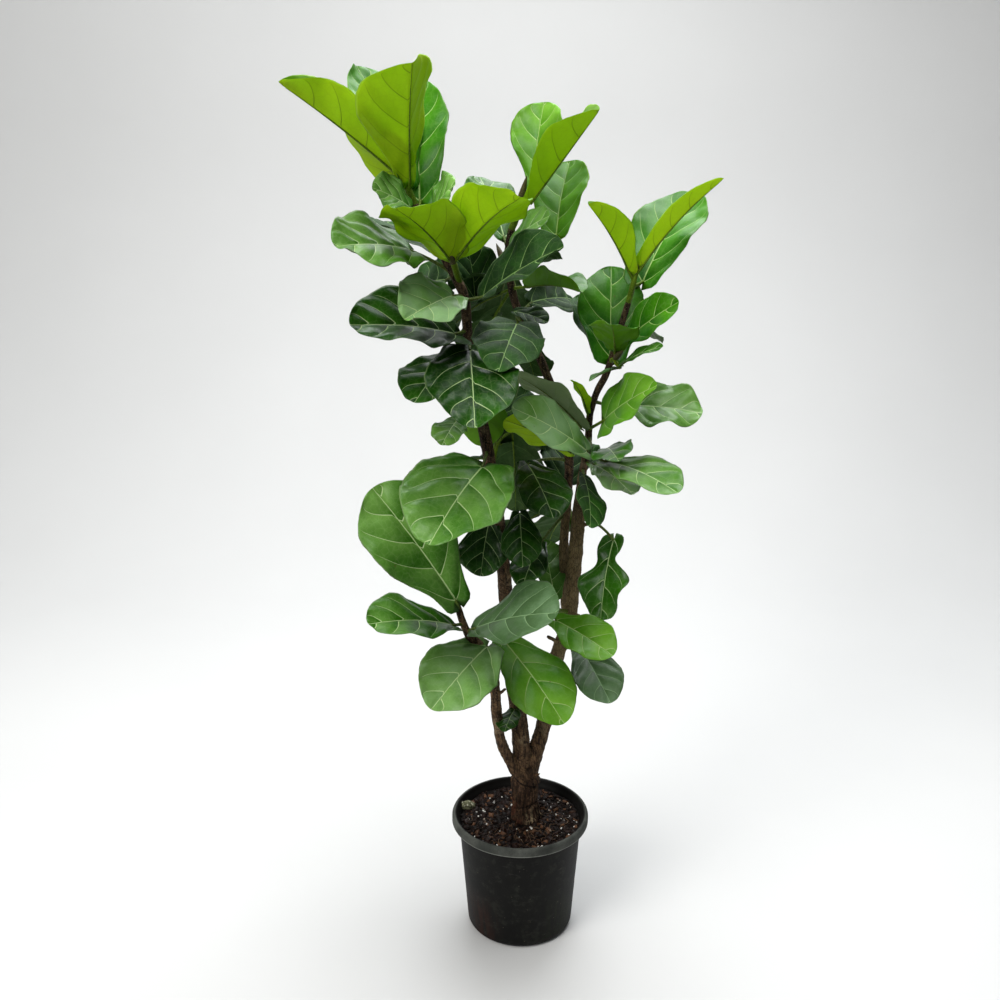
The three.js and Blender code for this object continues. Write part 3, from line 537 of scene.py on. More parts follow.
class Finish(Graph):
    """A material whose colours, roughness and bumps come from nodes."""

    def __init__(self, name):
        self.material = bpy.data.materials.new(name)
        self.material.use_nodes = True
        super().__init__(self.material.node_tree)
        self.tree.nodes.clear()
        self.place = self.add("ShaderNodeTexCoord").outputs["Object"]
        self.colour = None

    def attribute(self, name):
        return self.parts(self.add("ShaderNodeAttribute", attribute_name=name).outputs["Vector"])

    def mix(self, first, second, factor):
        inputs = {"Factor": factor, "A": first, "B": second}
        node = self.add("ShaderNodeMix", inputs, data_type="RGBA")
        return next(s for s in node.outputs if s.name == "Result" and s.enabled)

    def tint(self, colour, amount):
        """Lays a colour over the finish's own, as far as the amount says."""
        self.colour = self.mix(self.colour, colour, amount)

    def bump(self, height, distance, strength):
        inputs = {"Height": height, "Distance": distance, "Strength": strength}
        return self.add("ShaderNodeBump", inputs).outputs[0]

    def surface(self, roughness, specular, normal=None):
        inputs = {
            "Base Color": self.colour, "Roughness": roughness, "Specular IOR Level": specular,
        }
        if normal is not None:
            inputs["Normal"] = normal
        return self.add("ShaderNodeBsdfPrincipled", inputs)

    def done(self, shader):
        self.add("ShaderNodeOutputMaterial", {"Surface": shader.outputs[0]})
        return self.material


def rgb(red, green, blue):
    """A colour as the eye reads it, 0 to 255, for a shader."""
    return tuple(
        c / 12.92 if c <= 0.04045 else ((c + 0.055) / 1.055) ** 2.4
        for c in (red / 255, green / 255, blue / 255)
    ) + (1.0,)


def blade_material(
    name, over, veins, roughness, through,
    under=(rgb(40, 70, 22), rgb(112, 132, 88)), under_veins=rgb(92, 122, 60), glow=rgb(48, 100, 8),
):
    """Waxy upper face, dull underside, pale veins in them and a fine net between the veins. over
    and under go from dark to light, through is the share of light that passes, and glow its colour."""
    f = Finish(name)
    across, along, rim = f.attribute("place")
    vein, pitch, below = f.attribute("veins")
    tone, chance, size = f.attribute("tone")
    flat = f.vector(across, along, chance)
    cloud = f.noise(flat, 15.0, 3.0)
    mottle = f.noise(flat, 160.0, 4.0, 0.6)
    wander = (f.noise(flat, 60.0, 2.0) - 0.5) * 0.0016
    share = along / size
    boldness = 0.45 + 3.4 * size
    rib = (0.0012 - 0.0008 * share).least(0.0004) * boldness
    rib_line = 1 - (abs(across + wander) / rib).step(0.55, 1.35)
    gap = abs(vein.math("FRACT") - 0.5)
    side_width = (0.00078 - 0.00045 * rim) * boldness
    side_line = 1 - ((0.5 - gap) * pitch / side_width + 200 * wander).step(0.5, 1.5)
    side_line = side_line * (1 - rim.step(0.8, 0.97))
    bars = abs((vein * 0.16 + across * 46 + mottle * 0.5).math("FRACT") - 0.5)
    net_edge = f.cells(f.vector(across * 0.8, along, chance), 95.0, "DISTANCE_TO_EDGE")
    net = (1 - net_edge.step(0.0, 0.09)) * 0.06 + (1 - bars.step(0.0, 0.06)) * 0.05
    lines = rib_line.least(side_line * (0.92 - 0.45 * below)).least(net * (1 - rim.step(0.9, 1.0)))
    # Painted shade of the puckered relief: each space between side veins is lighter on one side and
    # darker on the other.
    slope = (vein.math("FRACT") - 0.5) * (1 - rim) * 0.4
    shade = tone + (cloud - 0.5) * 0.85 + (mottle - 0.5) * 0.28 + (share - 0.5) * 0.22 + slope
    shade = shade.least(0.0).most(1.0)
    upper = f.mix(over[0], over[1], (shade * 2).most(1.0))
    upper = f.mix(upper, over[2], (shade * 2 - 1).least(0.0))
    # Painted sheen: the grey tone gets pale grey-green patches that stand in for glossy reflection of
    # the lights.
    painted_sheen = tone.step(0.9, 0.98) * cloud.step(0.3, 0.65) * 0.5
    upper = f.mix(upper, rgb(152, 182, 148), painted_sheen)
    upper = f.mix(upper, veins, lines * (0.75 + 0.25 * shade))
    upper = f.mix(upper, veins, rim.step(0.965, 1.0) * 0.5)
    paleness = (tone + 0.5 * (cloud - 0.5) + 0.4 * (mottle - 0.5)).least(0.0).most(1.0)
    lower = f.mix(under[0], under[1], paleness)
    lower = f.mix(lower, under_veins, lines)
    f.colour = f.mix(upper, lower, below)
    spots = f.cells(flat, 42.0).step(0.1, 0.04) * f.noise(flat, 9.0).step(0.6, 0.65)
    f.tint(rgb(92, 70, 38), spots * 0.7)
    shine = roughness + (mottle - 0.5) * 0.2 + (cloud - 0.5) * 0.12 + below * 0.26
    height = mottle * 0.25 - lines * (1 - 2 * below) * 0.8
    fine = f.bump(height, distance=0.0009, strength=0.7)
    skin = f.surface(shine, specular=0.27, normal=fine)
    back = f.mix(glow, under_veins, lines * 0.8)
    light = f.add("ShaderNodeBsdfTranslucent", {"Color": back, "Normal": fine})
    both = f.add("ShaderNodeMixShader", {0: through, 1: skin.outputs[0], 2: light.outputs[0]})
    return f.done(both)


def stem_material(name, colours, speckle):
    """Stalks, ribs and young shoots: smooth green skin with pale dots and browner streaks."""
    f = Finish(name)
    cloud = f.noise(f.place, 40.0, 3.0)
    streak = f.noise(f.stretched(f.place, 400, 400, 60), 1.0, 3.0)
    f.colour = f.mix(colours[0], colours[1], cloud.step(0.3, 0.7))
    f.tint(colours[2], streak.step(0.35, 0.75) * 0.6)
    dots = f.cells(f.place, 420.0).step(0.34, 0.22)
    f.tint(speckle, dots * 0.6)
    normal = f.bump(streak + dots * 0.6, distance=0.0006, strength=0.6)
    rough = 0.5 + cloud * 0.2
    return f.done(f.surface(rough, specular=0.2, normal=normal))


def bark_material():
    """Grey-brown bark: long creases, crossing wrinkles, pale scars, painted shade in the carved crease
    and ring, and painted shade that darkens it high up among the leaves.
    """
    f = Finish("fig_bark")
    x, y, z = f.parts(f.place)
    cloud = f.noise(f.place, 30.0, 4.0, 0.6)
    creases = f.noise(f.stretched(f.place, 190, 190, 34), 1.0, 5.0, 0.62)
    skew = f.vector(x * 60, y * 60, z * 260 + x * 120)
    wrinkles = f.noise(skew, 1.0, 4.0, 0.55)
    flakes = f.cells(f.stretched(f.place, 260, 260, 90), 1.0, "DISTANCE_TO_EDGE")
    f.colour = f.mix(rgb(36, 25, 17), rgb(126, 99, 72), creases.step(0.32, 0.7))
    f.tint(rgb(30, 20, 14), wrinkles.step(0.46, 0.32) * 0.75)
    f.tint(rgb(148, 128, 100), cloud.step(0.55, 0.65) * 0.6)
    pale = x.step(0.045, 0.075) * z.step(0.42, 0.52) * z.step(0.9, 0.82)
    f.tint(rgb(142, 126, 88), pale * (0.35 + 0.45 * cloud))
    # Painted shade: the limbs get darker high up, where the leaves shade them.
    high = z.step(0.78, 1.13)
    f.tint(rgb(22, 16, 12), high * (1.15 - cloud).most(1.0) * 0.8)
    bole = z.step(0.37, 0.3)
    f.tint(rgb(46, 28, 20), bole * (1.15 - cloud).most(1.0) * 0.85)
    furrows = f.noise(f.stretched(f.place, 230, 230, 22), 1.0, 3.0, 0.6)
    f.tint(rgb(14, 9, 6), bole * furrows.step(0.46, 0.39) * 0.8)
    f.tint(rgb(112, 86, 68), bole * furrows.step(0.55, 0.62) * 0.6)
    sway = (cloud - 0.5) * 0.02
    # Painted shade along the diagonal crease and the ring that the bark tree carves into the bole.
    crease = (z - 0.319 + 0.45 * x + sway).bell(0.0022) + (z - 0.262 - 0.3 * x + sway).bell(0.0018)
    f.tint(rgb(10, 6, 4), crease.most(1.0) * 0.85)
    peel = z.step(0.275, 0.245) * x.step(0.006, 0.016) * creases.step(0.5, 0.56)
    f.tint(rgb(176, 156, 124), peel * (wrinkles + 0.2).most(1.0))
    russet = z.step(0.29, 0.26) * x.step(0.006, -0.002) * cloud.step(0.45, 0.55)
    f.tint(rgb(84, 40, 24), russet * 0.6)
    # Darker just above the mix.
    above_mix = z.step(0.262, 0.222)
    f.tint(rgb(36, 20, 13), above_mix * (0.7 - 0.6 * peel))
    dots = f.cells(f.place, 330.0).step(0.3, 0.2) * z.step(0.36, 0.46)
    f.tint(rgb(150, 132, 106), dots * 0.55)
    cracks = flakes.step(0.1, 0.0)
    f.tint(rgb(16, 11, 8), cracks * (0.55 - 0.35 * high))
    height = creases * 1.2 + wrinkles * 0.7 - cracks * 0.5 + dots * 0.3
    normal = f.bump(height, distance=0.003, strength=1.0)
    rough = 0.66 + 0.24 * creases
    return f.done(f.surface(rough, specular=0.14, normal=normal))


def pot_material():
    """Dull black plastic, dusty and scratched, grey over the rolled rim as part weathering and part
    painted sheen, with a painted highlight along the rim's lower edge and painted shade in the mouth.
    """
    f = Finish("black_pot")
    x, y, z = f.parts(f.place)
    cloud = f.noise(f.place, 14.0, 4.0, 0.6)
    grain = f.noise(f.place, 700.0, 3.0, 0.7)
    runs = f.noise(f.stretched(f.place, 70, 70, 9), 1.0, 4.0, 0.65)
    scratch = f.noise(f.stretched(f.place, 30, 30, 420), 1.0, 2.0)
    f.colour = f.mix(rgb(9, 9, 8), rgb(17, 17, 15), cloud.step(0.35, 0.7))
    f.tint(rgb(28, 28, 24), runs.step(0.56, 0.76) * 0.5)
    mottle = f.noise(f.place, 55.0, 4.0, 0.7)
    f.tint(rgb(38, 40, 34), mottle.step(0.5, 0.66) * 0.5)
    f.tint(rgb(7, 7, 6), mottle.step(0.44, 0.32) * 0.6)
    lines = scratch.step(0.66, 0.71) * f.noise(f.place, 26.0).step(0.5, 0.6)
    f.tint(rgb(52, 50, 44), lines * 0.5)
    # A reddish-brown band low on the left of the wall.
    reddish_band = z.step(0.13, 0.04) * x.step(-0.03, -0.08) * runs.step(0.36, 0.61)
    f.tint(rgb(44, 20, 12), reddish_band * 0.75)
    algae = z.step(0.15, 0.05) * x.step(0.02, 0.08) * runs.step(0.4, 0.65)
    f.tint(rgb(30, 36, 18), algae * 0.6)
    flecks = f.cells(f.place, 150.0).step(0.13, 0.07) * f.noise(f.place, 45.0).step(0.55, 0.65)
    f.tint(rgb(100, 92, 76), flecks * 0.8)
    reach = (x * x + y * y).math("SQRT")
    rim = z.step(0.2262, 0.2272) * reach.step(0.1275, 0.1295)
    # The rolled rim's grey is part wear and part painted sheen.
    wear_and_sheen = f.mix(rgb(54, 57, 53), rgb(98, 100, 94), (cloud + grain * 0.3 - 0.15).step(0.3, 0.75))
    f.tint(wear_and_sheen, rim * (0.7 + 0.5 * (runs - 0.4)).most(1.0))
    # Painted highlight: a thin bright line along the lower edge of the rolled rim.
    painted_rim_highlight = (z - 0.2285).bell(0.0011) * reach.step(0.131, 0.133) * (runs + 0.2).most(1.0)
    f.tint(rgb(150, 152, 144), painted_rim_highlight * 0.8)
    # Painted shade inside the pot's mouth and on the wall just under the rolled rim.
    painted_shade_inside = reach.step(0.1295, 0.1265) * z.step(0.2, 0.22)
    f.tint(rgb(12, 10, 8), painted_shade_inside * 0.8)
    height = grain * 0.35 + runs * 0.6 + lines * 0.5 + flecks
    normal = f.bump(height, distance=0.0006, strength=0.6)
    rough = 0.5 + 0.2 * cloud + 0.12 * rim + 0.2 * flecks
    return f.done(f.surface(rough, specular=0.14, normal=normal))


def crumb_material(name, colours, rough, spread, shine):
    """Bits of the potting mix: each bit has its own shade, with grain over it. spread is how much
    the shade changes within a bit."""
    f = Finish(name)
    shade, chance, wet = f.attribute("bit")
    cloud = f.noise(f.place, 90.0, 3.0)
    grain = f.noise(f.place, 900.0, 3.0, 0.7)
    fibres = f.noise(f.stretched(f.place, 300, 900, 900), 1.0, 3.0)
    amount = (shade + (cloud - 0.5) * spread).least(0.0).most(1.0)
    f.colour = f.mix(colours[0], colours[1], amount)
    f.tint(colours[2], chance.step(0.86, 0.89) * 0.8)
    f.tint(colours[0], fibres.step(0.5, 0.3) * 0.6)
    normal = f.bump(grain * 0.6 + fibres, distance=0.0007, strength=0.9)
    dull = rough - wet * 0.35 + (grain - 0.5) * 0.3
    return f.done(f.surface(dull, specular=shine, normal=normal))


def floor_material():
    f = Finish("studio_floor")
    cloud = f.noise(f.place, 2.0, 2.0)
    f.colour = f.mix((0.58, 0.58, 0.575, 1), (0.61, 0.61, 0.605, 1), cloud)
    return f.done(f.surface(roughness=0.85, specular=0.2))


MATURE = blade_material(
    "mature_leaf", (rgb(12, 50, 0), rgb(44, 100, 4), rgb(112, 160, 70)), rgb(192, 220, 152),
    roughness=0.33, through=0.16,
)
FRESH = blade_material(
    "fresh_leaf", (rgb(24, 88, 0), rgb(68, 134, 2), rgb(118, 174, 50)), rgb(186, 218, 130),
    roughness=0.36, through=0.22, under=(rgb(74, 124, 0), rgb(106, 156, 20)),
    under_veins=rgb(62, 92, 14), glow=rgb(96, 144, 4),
)
YOUNG = blade_material(
    "young_leaf", (rgb(34, 90, 0), rgb(80, 138, 8), rgb(128, 174, 72)), rgb(168, 200, 104),
    roughness=0.45, through=0.4, under=(rgb(134, 170, 0), rgb(168, 202, 4)),
    under_veins=rgb(52, 80, 6), glow=rgb(168, 204, 0),
)
DULL = blade_material(
    "dull_leaf", (rgb(34, 60, 28), rgb(68, 98, 56), rgb(112, 144, 104)), rgb(140, 172, 122),
    roughness=0.42, through=0.12,
)
# A darker, rougher copy of the mature leaf: painted shade for the leaves deep in the foliage.
SHADED_INNER = blade_material(
    "inner_leaf", (rgb(12, 48, 0), rgb(40, 92, 4), rgb(104, 150, 66)), rgb(150, 184, 112),
    roughness=0.66, through=0.1,
)
BLADES = {
    "inner": SHADED_INNER, "fresh": FRESH, "pale": FRESH, "dull": DULL, "lively": YOUNG, "young": YOUNG,
}
STALK = stem_material(
    "green_stalk", (rgb(62, 84, 26), rgb(92, 112, 44), rgb(58, 48, 22)), speckle=rgb(120, 122, 80)
)
YOUNG_STALK = stem_material(
    "young_stalk", (rgb(66, 92, 4), rgb(94, 122, 10), rgb(50, 58, 6)), speckle=rgb(120, 136, 40)
)
SHEATH = stem_material(
    "bud_sheath", (rgb(52, 56, 26), rgb(82, 74, 42), rgb(44, 30, 18)), speckle=rgb(104, 90, 62)
)
BARK = bark_material()
POT = pot_material()
MIX = crumb_material(
    "potting_mix", (rgb(9, 5, 3), rgb(24, 14, 9), rgb(44, 27, 18)),
    rough=0.85, spread=0.9, shine=0.16,
)
CHIPS = crumb_material(
    "bark_chips", (rgb(7, 3, 1), rgb(32, 15, 8), rgb(100, 68, 46)),
    rough=0.62, spread=0.8, shine=0.13,
)
PERLITE = crumb_material(
    "perlite", (rgb(196, 192, 184), rgb(236, 234, 228), rgb(140, 120, 96)),
    rough=0.7, spread=0.5, shine=0.5,
)
MOSS = crumb_material(
    "moss", (rgb(66, 68, 48), rgb(134, 134, 108), rgb(210, 208, 190)),
    rough=0.95, spread=0.9, shine=0.12,
)
FIBRE = crumb_material(
    "root_fibre", (rgb(36, 22, 14), rgb(124, 98, 76), rgb(190, 168, 140)),
    rough=0.85, spread=1.4, shine=0.14,
)

# ------------------------ the leaf


def leaf_tree():
    """A waved fiddle-shaped blade with its rib and stalk. The stalk ends at the origin, the blade
    runs along Y and its upper face looks along Z."""
    inputs = {
        "Length": 0.2, "Width": 0.13, "Arch": 0.05, "Waist": 0.1, "First fold": 10.0,
        "Second fold": 10.0, "First lift": 0.0, "Second lift": 0.0, "Wave": 0.06, "Widest": 1.3,
        "Phase": 0.0, "Thickness": 0.0009, "Vein pairs": 6.0, "Vein shift": 0.0, "Pucker": 0.012,
        "Tone": 0.5, "Chance": 0.5, "Columns": 41, "Rows": 60, "Stalk root": (0.0, -0.03, 0.0),
        "Stalk bend": (0.0, -0.015, 0.0), "Stalk radius": 0.003, "Blade": None, "Stalk": None,
    }
    g = Shape("leaf", inputs)
    length, width, phase = g["Length"], g["Width"], g["Phase"]
    grid = g.grid(2.0, g["Columns"], g["Rows"])
    t, row, _ = g.parts(g.position())
    s = (1 - (0.5 - row).least(0.0) ** 1.6).least(0.0)
    size, sign = abs(t), t.math("SIGN")

    # The midrib is a shallow arch. tilt_y and tilt_z are its direction at s.
    slope = 4 * g["Arch"] * (1 - 2 * s)
    steep = (slope * slope + 1).math("SQRT")
    tilt_y, tilt_z = 1 / steep, slope / steep
    body = (math.pi * s ** g["Widest"]).math("SINE").least(0.0).math("SQRT")
    outline = body * (1 - g["Waist"] * (s - 0.3).bell(0.14)) + 0.2 * s.bell(0.1)
    outline = outline * (0.3 + 0.7 * s.step(0.0, 0.035))
    ragged = g.noise(g.vector(7 * s, 3 * sign + 20 * g["Chance"], 0.0), 1.0, 3.0) - 0.5
    outline = outline * (1 + 0.17 * ragged * s.step(0.05, 0.25) * (1 - s.step(0.93, 1.0)))
    reach = size * width * 0.5 * outline * (1 - s.step(0.9995, 1.0))
    second = (sign + 1) / 2
    base_fold = g["First fold"] + (g["Second fold"] - g["First fold"]) * second
    rise = g["First lift"] + (g["Second lift"] - g["First lift"]) * second
    fold = (base_fold + rise * s) * (math.pi / 180)
    soft = 0.03 * width
    bend = (reach * reach + soft * soft).math("SQRT")
    lift, turn = (bend - soft) * fold.math("SINE"), fold.math("SINE") * reach / bend
    back = 0.07 * length * size * s.bell(0.15)
    x = sign * reach * fold.math("COSINE")
    y = length * s - tilt_z * lift - back * tilt_y + 0.02 * length * (s - 0.93).least(0.0) * 14
    z = 4 * g["Arch"] * length * s * (1 - s) + tilt_y * lift - back * tilt_z

    # Veins leave the midrib, bend towards the tip and loop near the edge.
    wide = reach / length
    level = s - back / length
    wobble = g.noise(g.vector(sign * wide, level, g["Vein shift"]), 3.0, 1.0) - 0.5
    vein = level - 0.6 * wide - 0.8 * wide * wide - 0.1 * size**3 + 0.05 * wobble
    stagger = (0.16 * sign + 0.3 * (g["Vein shift"] - 0.5)) * (4 * level).least(0.0).most(1.0)
    vein = vein * g["Vein pairs"] + stagger + 20.96
    between = (math.pi * vein.math("FRACT")).math("SINE")
    flat = g.vector(sign * reach, length * level, g["Chance"] * 3)
    swell = g.noise(flat, 15.0, 2.0) - 0.5
    ripple = g["Wave"] * t * t * (3 * s).most(1.0)
    ripple = ripple * (TURN * LONG_WAVES * s + phase + sign).math("SINE")
    ruffle = 0.005 * size.step(0.55, 1.0)
    ruffle = ruffle * (TURN * SHORT_WAVES * s + 2 * phase + 2 * sign).math("SINE")
    ruffle = ruffle * (6 * s).most(1.0)
    domes = g["Pucker"] * (between - 0.6) * size.step(0.03, 0.25) * (1 - size.step(0.8, 1.0))
    valley = 0.009 * (reach / width).bell(0.04)
    relief = (ripple + ruffle + domes - valley + 0.06 * swell * size.step(0.0, 0.6)) * width
    relief = relief * (1 - s.step(0.97, 1.0))

    normal = g.vector(-(sign * turn), -(tilt_z * fold.math("COSINE")), tilt_y * fold.math("COSINE"))
    normal = g.vector_math("NORMALIZE", normal)
    middle = g.vector_math("ADD", g.vector(x, y, z), g.scaled(normal, relief))
    full = (8 * (1 - size)).most(1.0) * (0.3 + 10 * (1 - s)).most(1.0) * (25 * s).most(1.0)
    half = g.scaled(normal, g["Thickness"] * 0.5 * full)
    place = g.vector(sign * reach, length * level, size)
    marks, under_marks = (
        g.vector(vein, length / g["Vein pairs"] * 0.85, below) for below in (0.0, 1.0)
    )
    tones = g.vector(g["Tone"], g["Chance"], length)
    sheet = g.stored(g.stored(grid, "place", place), "tone", tones)
    upper = g.moved(g.stored(sheet, "veins", marks), g.vector_math("ADD", middle, half))
    lower = g.moved(g.stored(sheet, "veins", under_marks), g.vector_math("SUBTRACT", middle, half))
    lower = g.add("GeometryNodeFlipFaces", {"Mesh": lower})
    blade = g.welded(g.joined(upper, lower), 0.00002)

    # The rib stands out under the blade and thins to its tip.
    line = g.add("GeometryNodeCurvePrimitiveLine", {"Start": (0, 0, 0), "End": (0, 1, 0)})
    line = g.add("GeometryNodeResampleCurve", {"Curve": line, "Count": 26})
    share = g.output(g.add("GeometryNodeSplineParameter"), "Factor")
    rib = 0.96 * share
    girth = g["Stalk radius"] * (0.68 - 0.56 * share)
    rib_z = 4 * g["Arch"] * length * rib * (1 - rib)
    sunk = 0.009 * width + 0.75 * girth
    line = g.moved(line, g.vector(0.0, length * rib, rib_z - sunk))
    rib_tube = g.tube(line, girth, 8)
    ends = {"Start": g["Stalk root"], "Middle": g["Stalk bend"], "End": (0, 0.004, -0.0012)}
    root = g.add("GeometryNodeCurveQuadraticBezier", {"Resolution": 14} | ends)
    thick = g["Stalk radius"] * (1.05 - 0.2 * share + 0.35 * share.bell(0.14))
    stalk_tube = g.tube(root, thick, 10)
    stalk = g.dressed(g.joined(rib_tube, stalk_tube), g["Stalk"])
    return g.finish(g.joined(g.dressed(blade, g["Blade"]), stalk))


# ------------------------ limbs, shoots and bark


def limb_tree():
    """Round limbs along edges, each as thick as its girth, with the rings of old leaf scars."""
    inputs = {"Sides": 20, "Scar gap": 0.034, "Scar height": 0.07, "Skin": None}
    g = Shape("limb", inputs, takes_geometry=True)
    curve = g.add("GeometryNodeMeshToCurve", {"Mesh": g.given})
    reached = g.output(g.add("GeometryNodeSplineParameter"), "Length")
    uneven = g.noise(g.position(), 24.0, 2.0) - 0.5
    place = (reached / g["Scar gap"] + uneven * 1.5).math("FRACT") - 0.5
    swell = 1 + g["Scar height"] * place.bell(0.09) + 0.12 * uneven
    return g.finish(g.tube(curve, g.read("girth") * swell, g["Sides"]), g["Skin"])


def bark_tree():
    """Raises the bark's creases, wrinkles and knobs, more on the thick old wood low down."""
    inputs = {"Relief": 0.0022, "Skin": None}
    g = Shape("bark", inputs, takes_geometry=True)
    here = g.position()
    x, y, z = g.parts(here)
    creases = g.noise(g.stretched(here, 120, 120, 26), 1.0, 4.0, 0.6) - 0.5
    wrinkles = g.noise(g.vector(x * 40, y * 40, z * 170 + x * 90), 1.0, 3.0) - 0.5
    knobs = g.noise(here, 34.0, 2.0) - 0.5
    old = 1.15 - 0.85 * z.step(0.3, 1.1)
    bole = 1 - z.step(0.3, 0.37)
    ridges = g.noise(g.stretched(here, 190, 190, 16), 1.0, 3.0, 0.6) - 0.5
    crease = (z - 0.319 + 0.45 * x).bell(0.0035) - 0.7 * (z - 0.327 + 0.45 * x).bell(0.005)
    ring = (z - 0.262 - 0.3 * x).bell(0.003)
    old_wood = ridges * 5.2 + knobs * 2.8 - crease * 1.9 - ring * 1.2
    height = ((creases * 1.5 + wrinkles * 0.9 + knobs * 1.4) * old + old_wood * bole) * g["Relief"]
    return g.finish(g.moved(g.given, offset=g.scaled(g.normal(), height)), g["Skin"])


def spline_point(rows, u):
    """A point and radius on the smooth curve through a limb's rows, for u from 0 to 1."""
    rows = [Vector(row) for row in rows]
    place = u * (len(rows) - 1)
    i = min(int(place), len(rows) - 2)
    k = place - i
    a, b = rows[i], rows[i + 1]
    before = rows[i - 1] if i > 0 else 2 * a - b
    after = rows[i + 2] if i + 2 < len(rows) else 2 * b - a
    start, end = (b - before) / 2, (after - a) / 2
    point = (
        (2 * k**3 - 3 * k**2 + 1) * a
        + (k**3 - 2 * k**2 + k) * start
        + (3 * k**2 - 2 * k**3) * b
        + (k**3 - k**2) * end
    )
    return point.to_3d(), a.w + (b.w - a.w) * k


def point_at_height(rows, height):
    low, high = 0.0, 1.0
    for _ in range(30):
        half = (low + high) / 2
        if spline_point(rows, half)[0].z < height:
            low = half
        else:
            high = half
    return spline_point(rows, low)[0]


def limb_path(rows):
    """Close points along a limb, each with its radius."""
    length = sum((Vector(b[:3]) - Vector(a[:3])).length for a, b in zip(rows, rows[1:]))
    count = max(6, round(length / LIMB_POINT_GAP))
    return [spline_point(rows, i / count) for i in range(count + 1)]


def skeleton(name, paths):
    """Edges along the paths, with a girth at each point."""
    mesh = bpy.data.meshes.new(name)
    points, edges, girths = [], [], []
    for path in paths:
        first = len(points)
        for place, radius in path:
            points.append(place * MM)
            girths.append(radius * MM)
        edges += [(i, i + 1) for i in range(first, len(points) - 1)]
    mesh.from_pydata(points, edges, [])
    mesh.attributes.new("girth", "FLOAT", "POINT").data.foreach_set("value", girths)
    return piece(name, mesh)


# ------------------------ loose bits on the mix


def scatter_tree():
    """Bits strewn over upward faces: each a small lump of its own shape, size, turn and shade."""
    inputs = {
        "Count per m2": 38000.0, "Least size": 0.003, "Most size": 0.005, "Flatness": 0.7,
        "Roundness": 0.0, "Sink": 0.2, "Tilt": 0.6, "Most radius": 0.113, "Least radius": 0.034,
        "Middle": (0.012, 0.0, 0.0), "Fineness": 3, "Seed": 3, "Material": None,
    }
    g = Shape("scatter", inputs, takes_geometry=True)

    def draw(low, high, number):
        return g.random(low, high, g["Seed"] + number)

    x, y, _ = g.parts(g.position())
    _, _, up = g.parts(g.normal())
    middle_x, middle_y, _ = g.parts(g["Middle"])
    dx, dy = x - middle_x, y - middle_y
    off = (dx * dx + dy * dy).math("SQRT")
    rim = (x * x + y * y).math("SQRT")
    allowed = up.math("GREATER_THAN", 0.5) * off.math("GREATER_THAN", g["Least radius"])
    allowed = allowed * rim.math("LESS_THAN", g["Most radius"])
    points = g.add("GeometryNodeDistributePointsOnFaces", {
        "Mesh": g.given, "Selection": allowed, "Density": g["Count per m2"], "Seed": g["Seed"],
    })
    kinds = g.add("GeometryNodeGeometryToInstance")
    counts = {"Vertices " + axis: g["Fineness"] for axis in "XYZ"}
    for i in range(LUMP_KINDS):
        cube = g.add("GeometryNodeMeshCube", {"Size": (1, 1, 1)} | counts).outputs[0]
        here = g.position()
        ball = g.scaled(g.vector_math("NORMALIZE", here), 0.55)
        block, ball = g.scaled(here, 1 - g["Roundness"]), g.scaled(ball, g["Roundness"])
        mixed = g.vector_math("ADD", block, ball)
        shaken = g.noise(g.vector_math("ADD", here, (3.1 * i, 1.7 * i, 5.3 * i)), 1.6, 2.0)
        g.feed(kinds.inputs[0], g.moved(cube, g.scaled(mixed, 0.45 + 1.1 * shaken)))
    share = draw(0.0, 1.0, 7)
    size = g["Least size"] + (g["Most size"] - g["Least size"]) * share * share
    thin = size * g["Flatness"]
    stretch = g.vector(size, size * draw(0.45, 0.9, 11), thin * draw(0.6, 1.4, 13))
    tilt = g["Tilt"]
    turn = g.vector(tilt * draw(-1.0, 1.0, 17), tilt * draw(-1.0, 1.0, 19), draw(0.0, TURN, 23))
    sunk = g.moved(points, offset=g.vector(0.0, 0.0, thin * (0.5 - g["Sink"])))
    bits = g.add("GeometryNodeInstanceOnPoints", {
        "Points": sunk, "Instance": kinds, "Pick Instance": True, "Rotation": turn, "Scale": stretch,
    })
    marks = g.vector(*(draw(0.0, 1.0, number) for number in (29, 31, 37)))
    return g.finish(g.stored(bits, "bit", marks, domain="INSTANCE"), g["Material"])


def rough_ground_tree():
    """Lifts and lowers upward faces like loose damp mix."""
    inputs = {"Relief": 0.004, "Grain": 0.0016, "Skin": None}
    g = Shape("rough_ground", inputs, takes_geometry=True)
    here = g.position()
    _, _, up = g.parts(g.normal())
    lumps = g.noise(here, 26.0, 3.0) - 0.5
    grains = g.noise(here, 130.0, 3.0, 0.6) - 0.5
    height = (lumps * 2 * g["Relief"] + grains * 2 * g["Grain"]) * up.step(0.3, 0.8)
    ground = g.moved(g.given, offset=g.vector(0.0, 0.0, height))
    return g.finish(ground, g["Skin"])


def lathe_tree():
    """Turns a profile, given as points in order, round the Z axis into one closed body."""
    inputs = {"Sides": 96, "Rows": 10, "Unevenness": 0.0, "Skin": None}
    g = Shape("lathe", inputs, takes_geometry=True)
    grid = g.grid(1.0, g["Sides"] + 1, g["Rows"])
    around, along, _ = g.parts(g.position())
    row = ((along + 0.5) * (g["Rows"] - 1)).math("ROUND")
    inputs = {"Geometry": g.given, "Value": g.position(), "Index": row}
    sample = g.add("GeometryNodeSampleIndex", inputs, data_type="FLOAT_VECTOR")
    radius, _, height = g.parts(g.output(sample, "Value").socket)
    angle = (around + 0.5) * TURN
    cosine, sine = angle.math("COSINE"), angle.math("SINE")
    swell = g.noise(g.vector(cosine * 1.3, sine * 1.3, height * 6), 1.0, 2.0) - 0.5
    wide = radius + swell * g["Unevenness"] * (radius * 12).most(1.0)
    body = g.moved(grid, g.vector(wide * cosine, wide * sine, height))
    return g.finish(g.welded(body, 0.00001), g["Skin"])


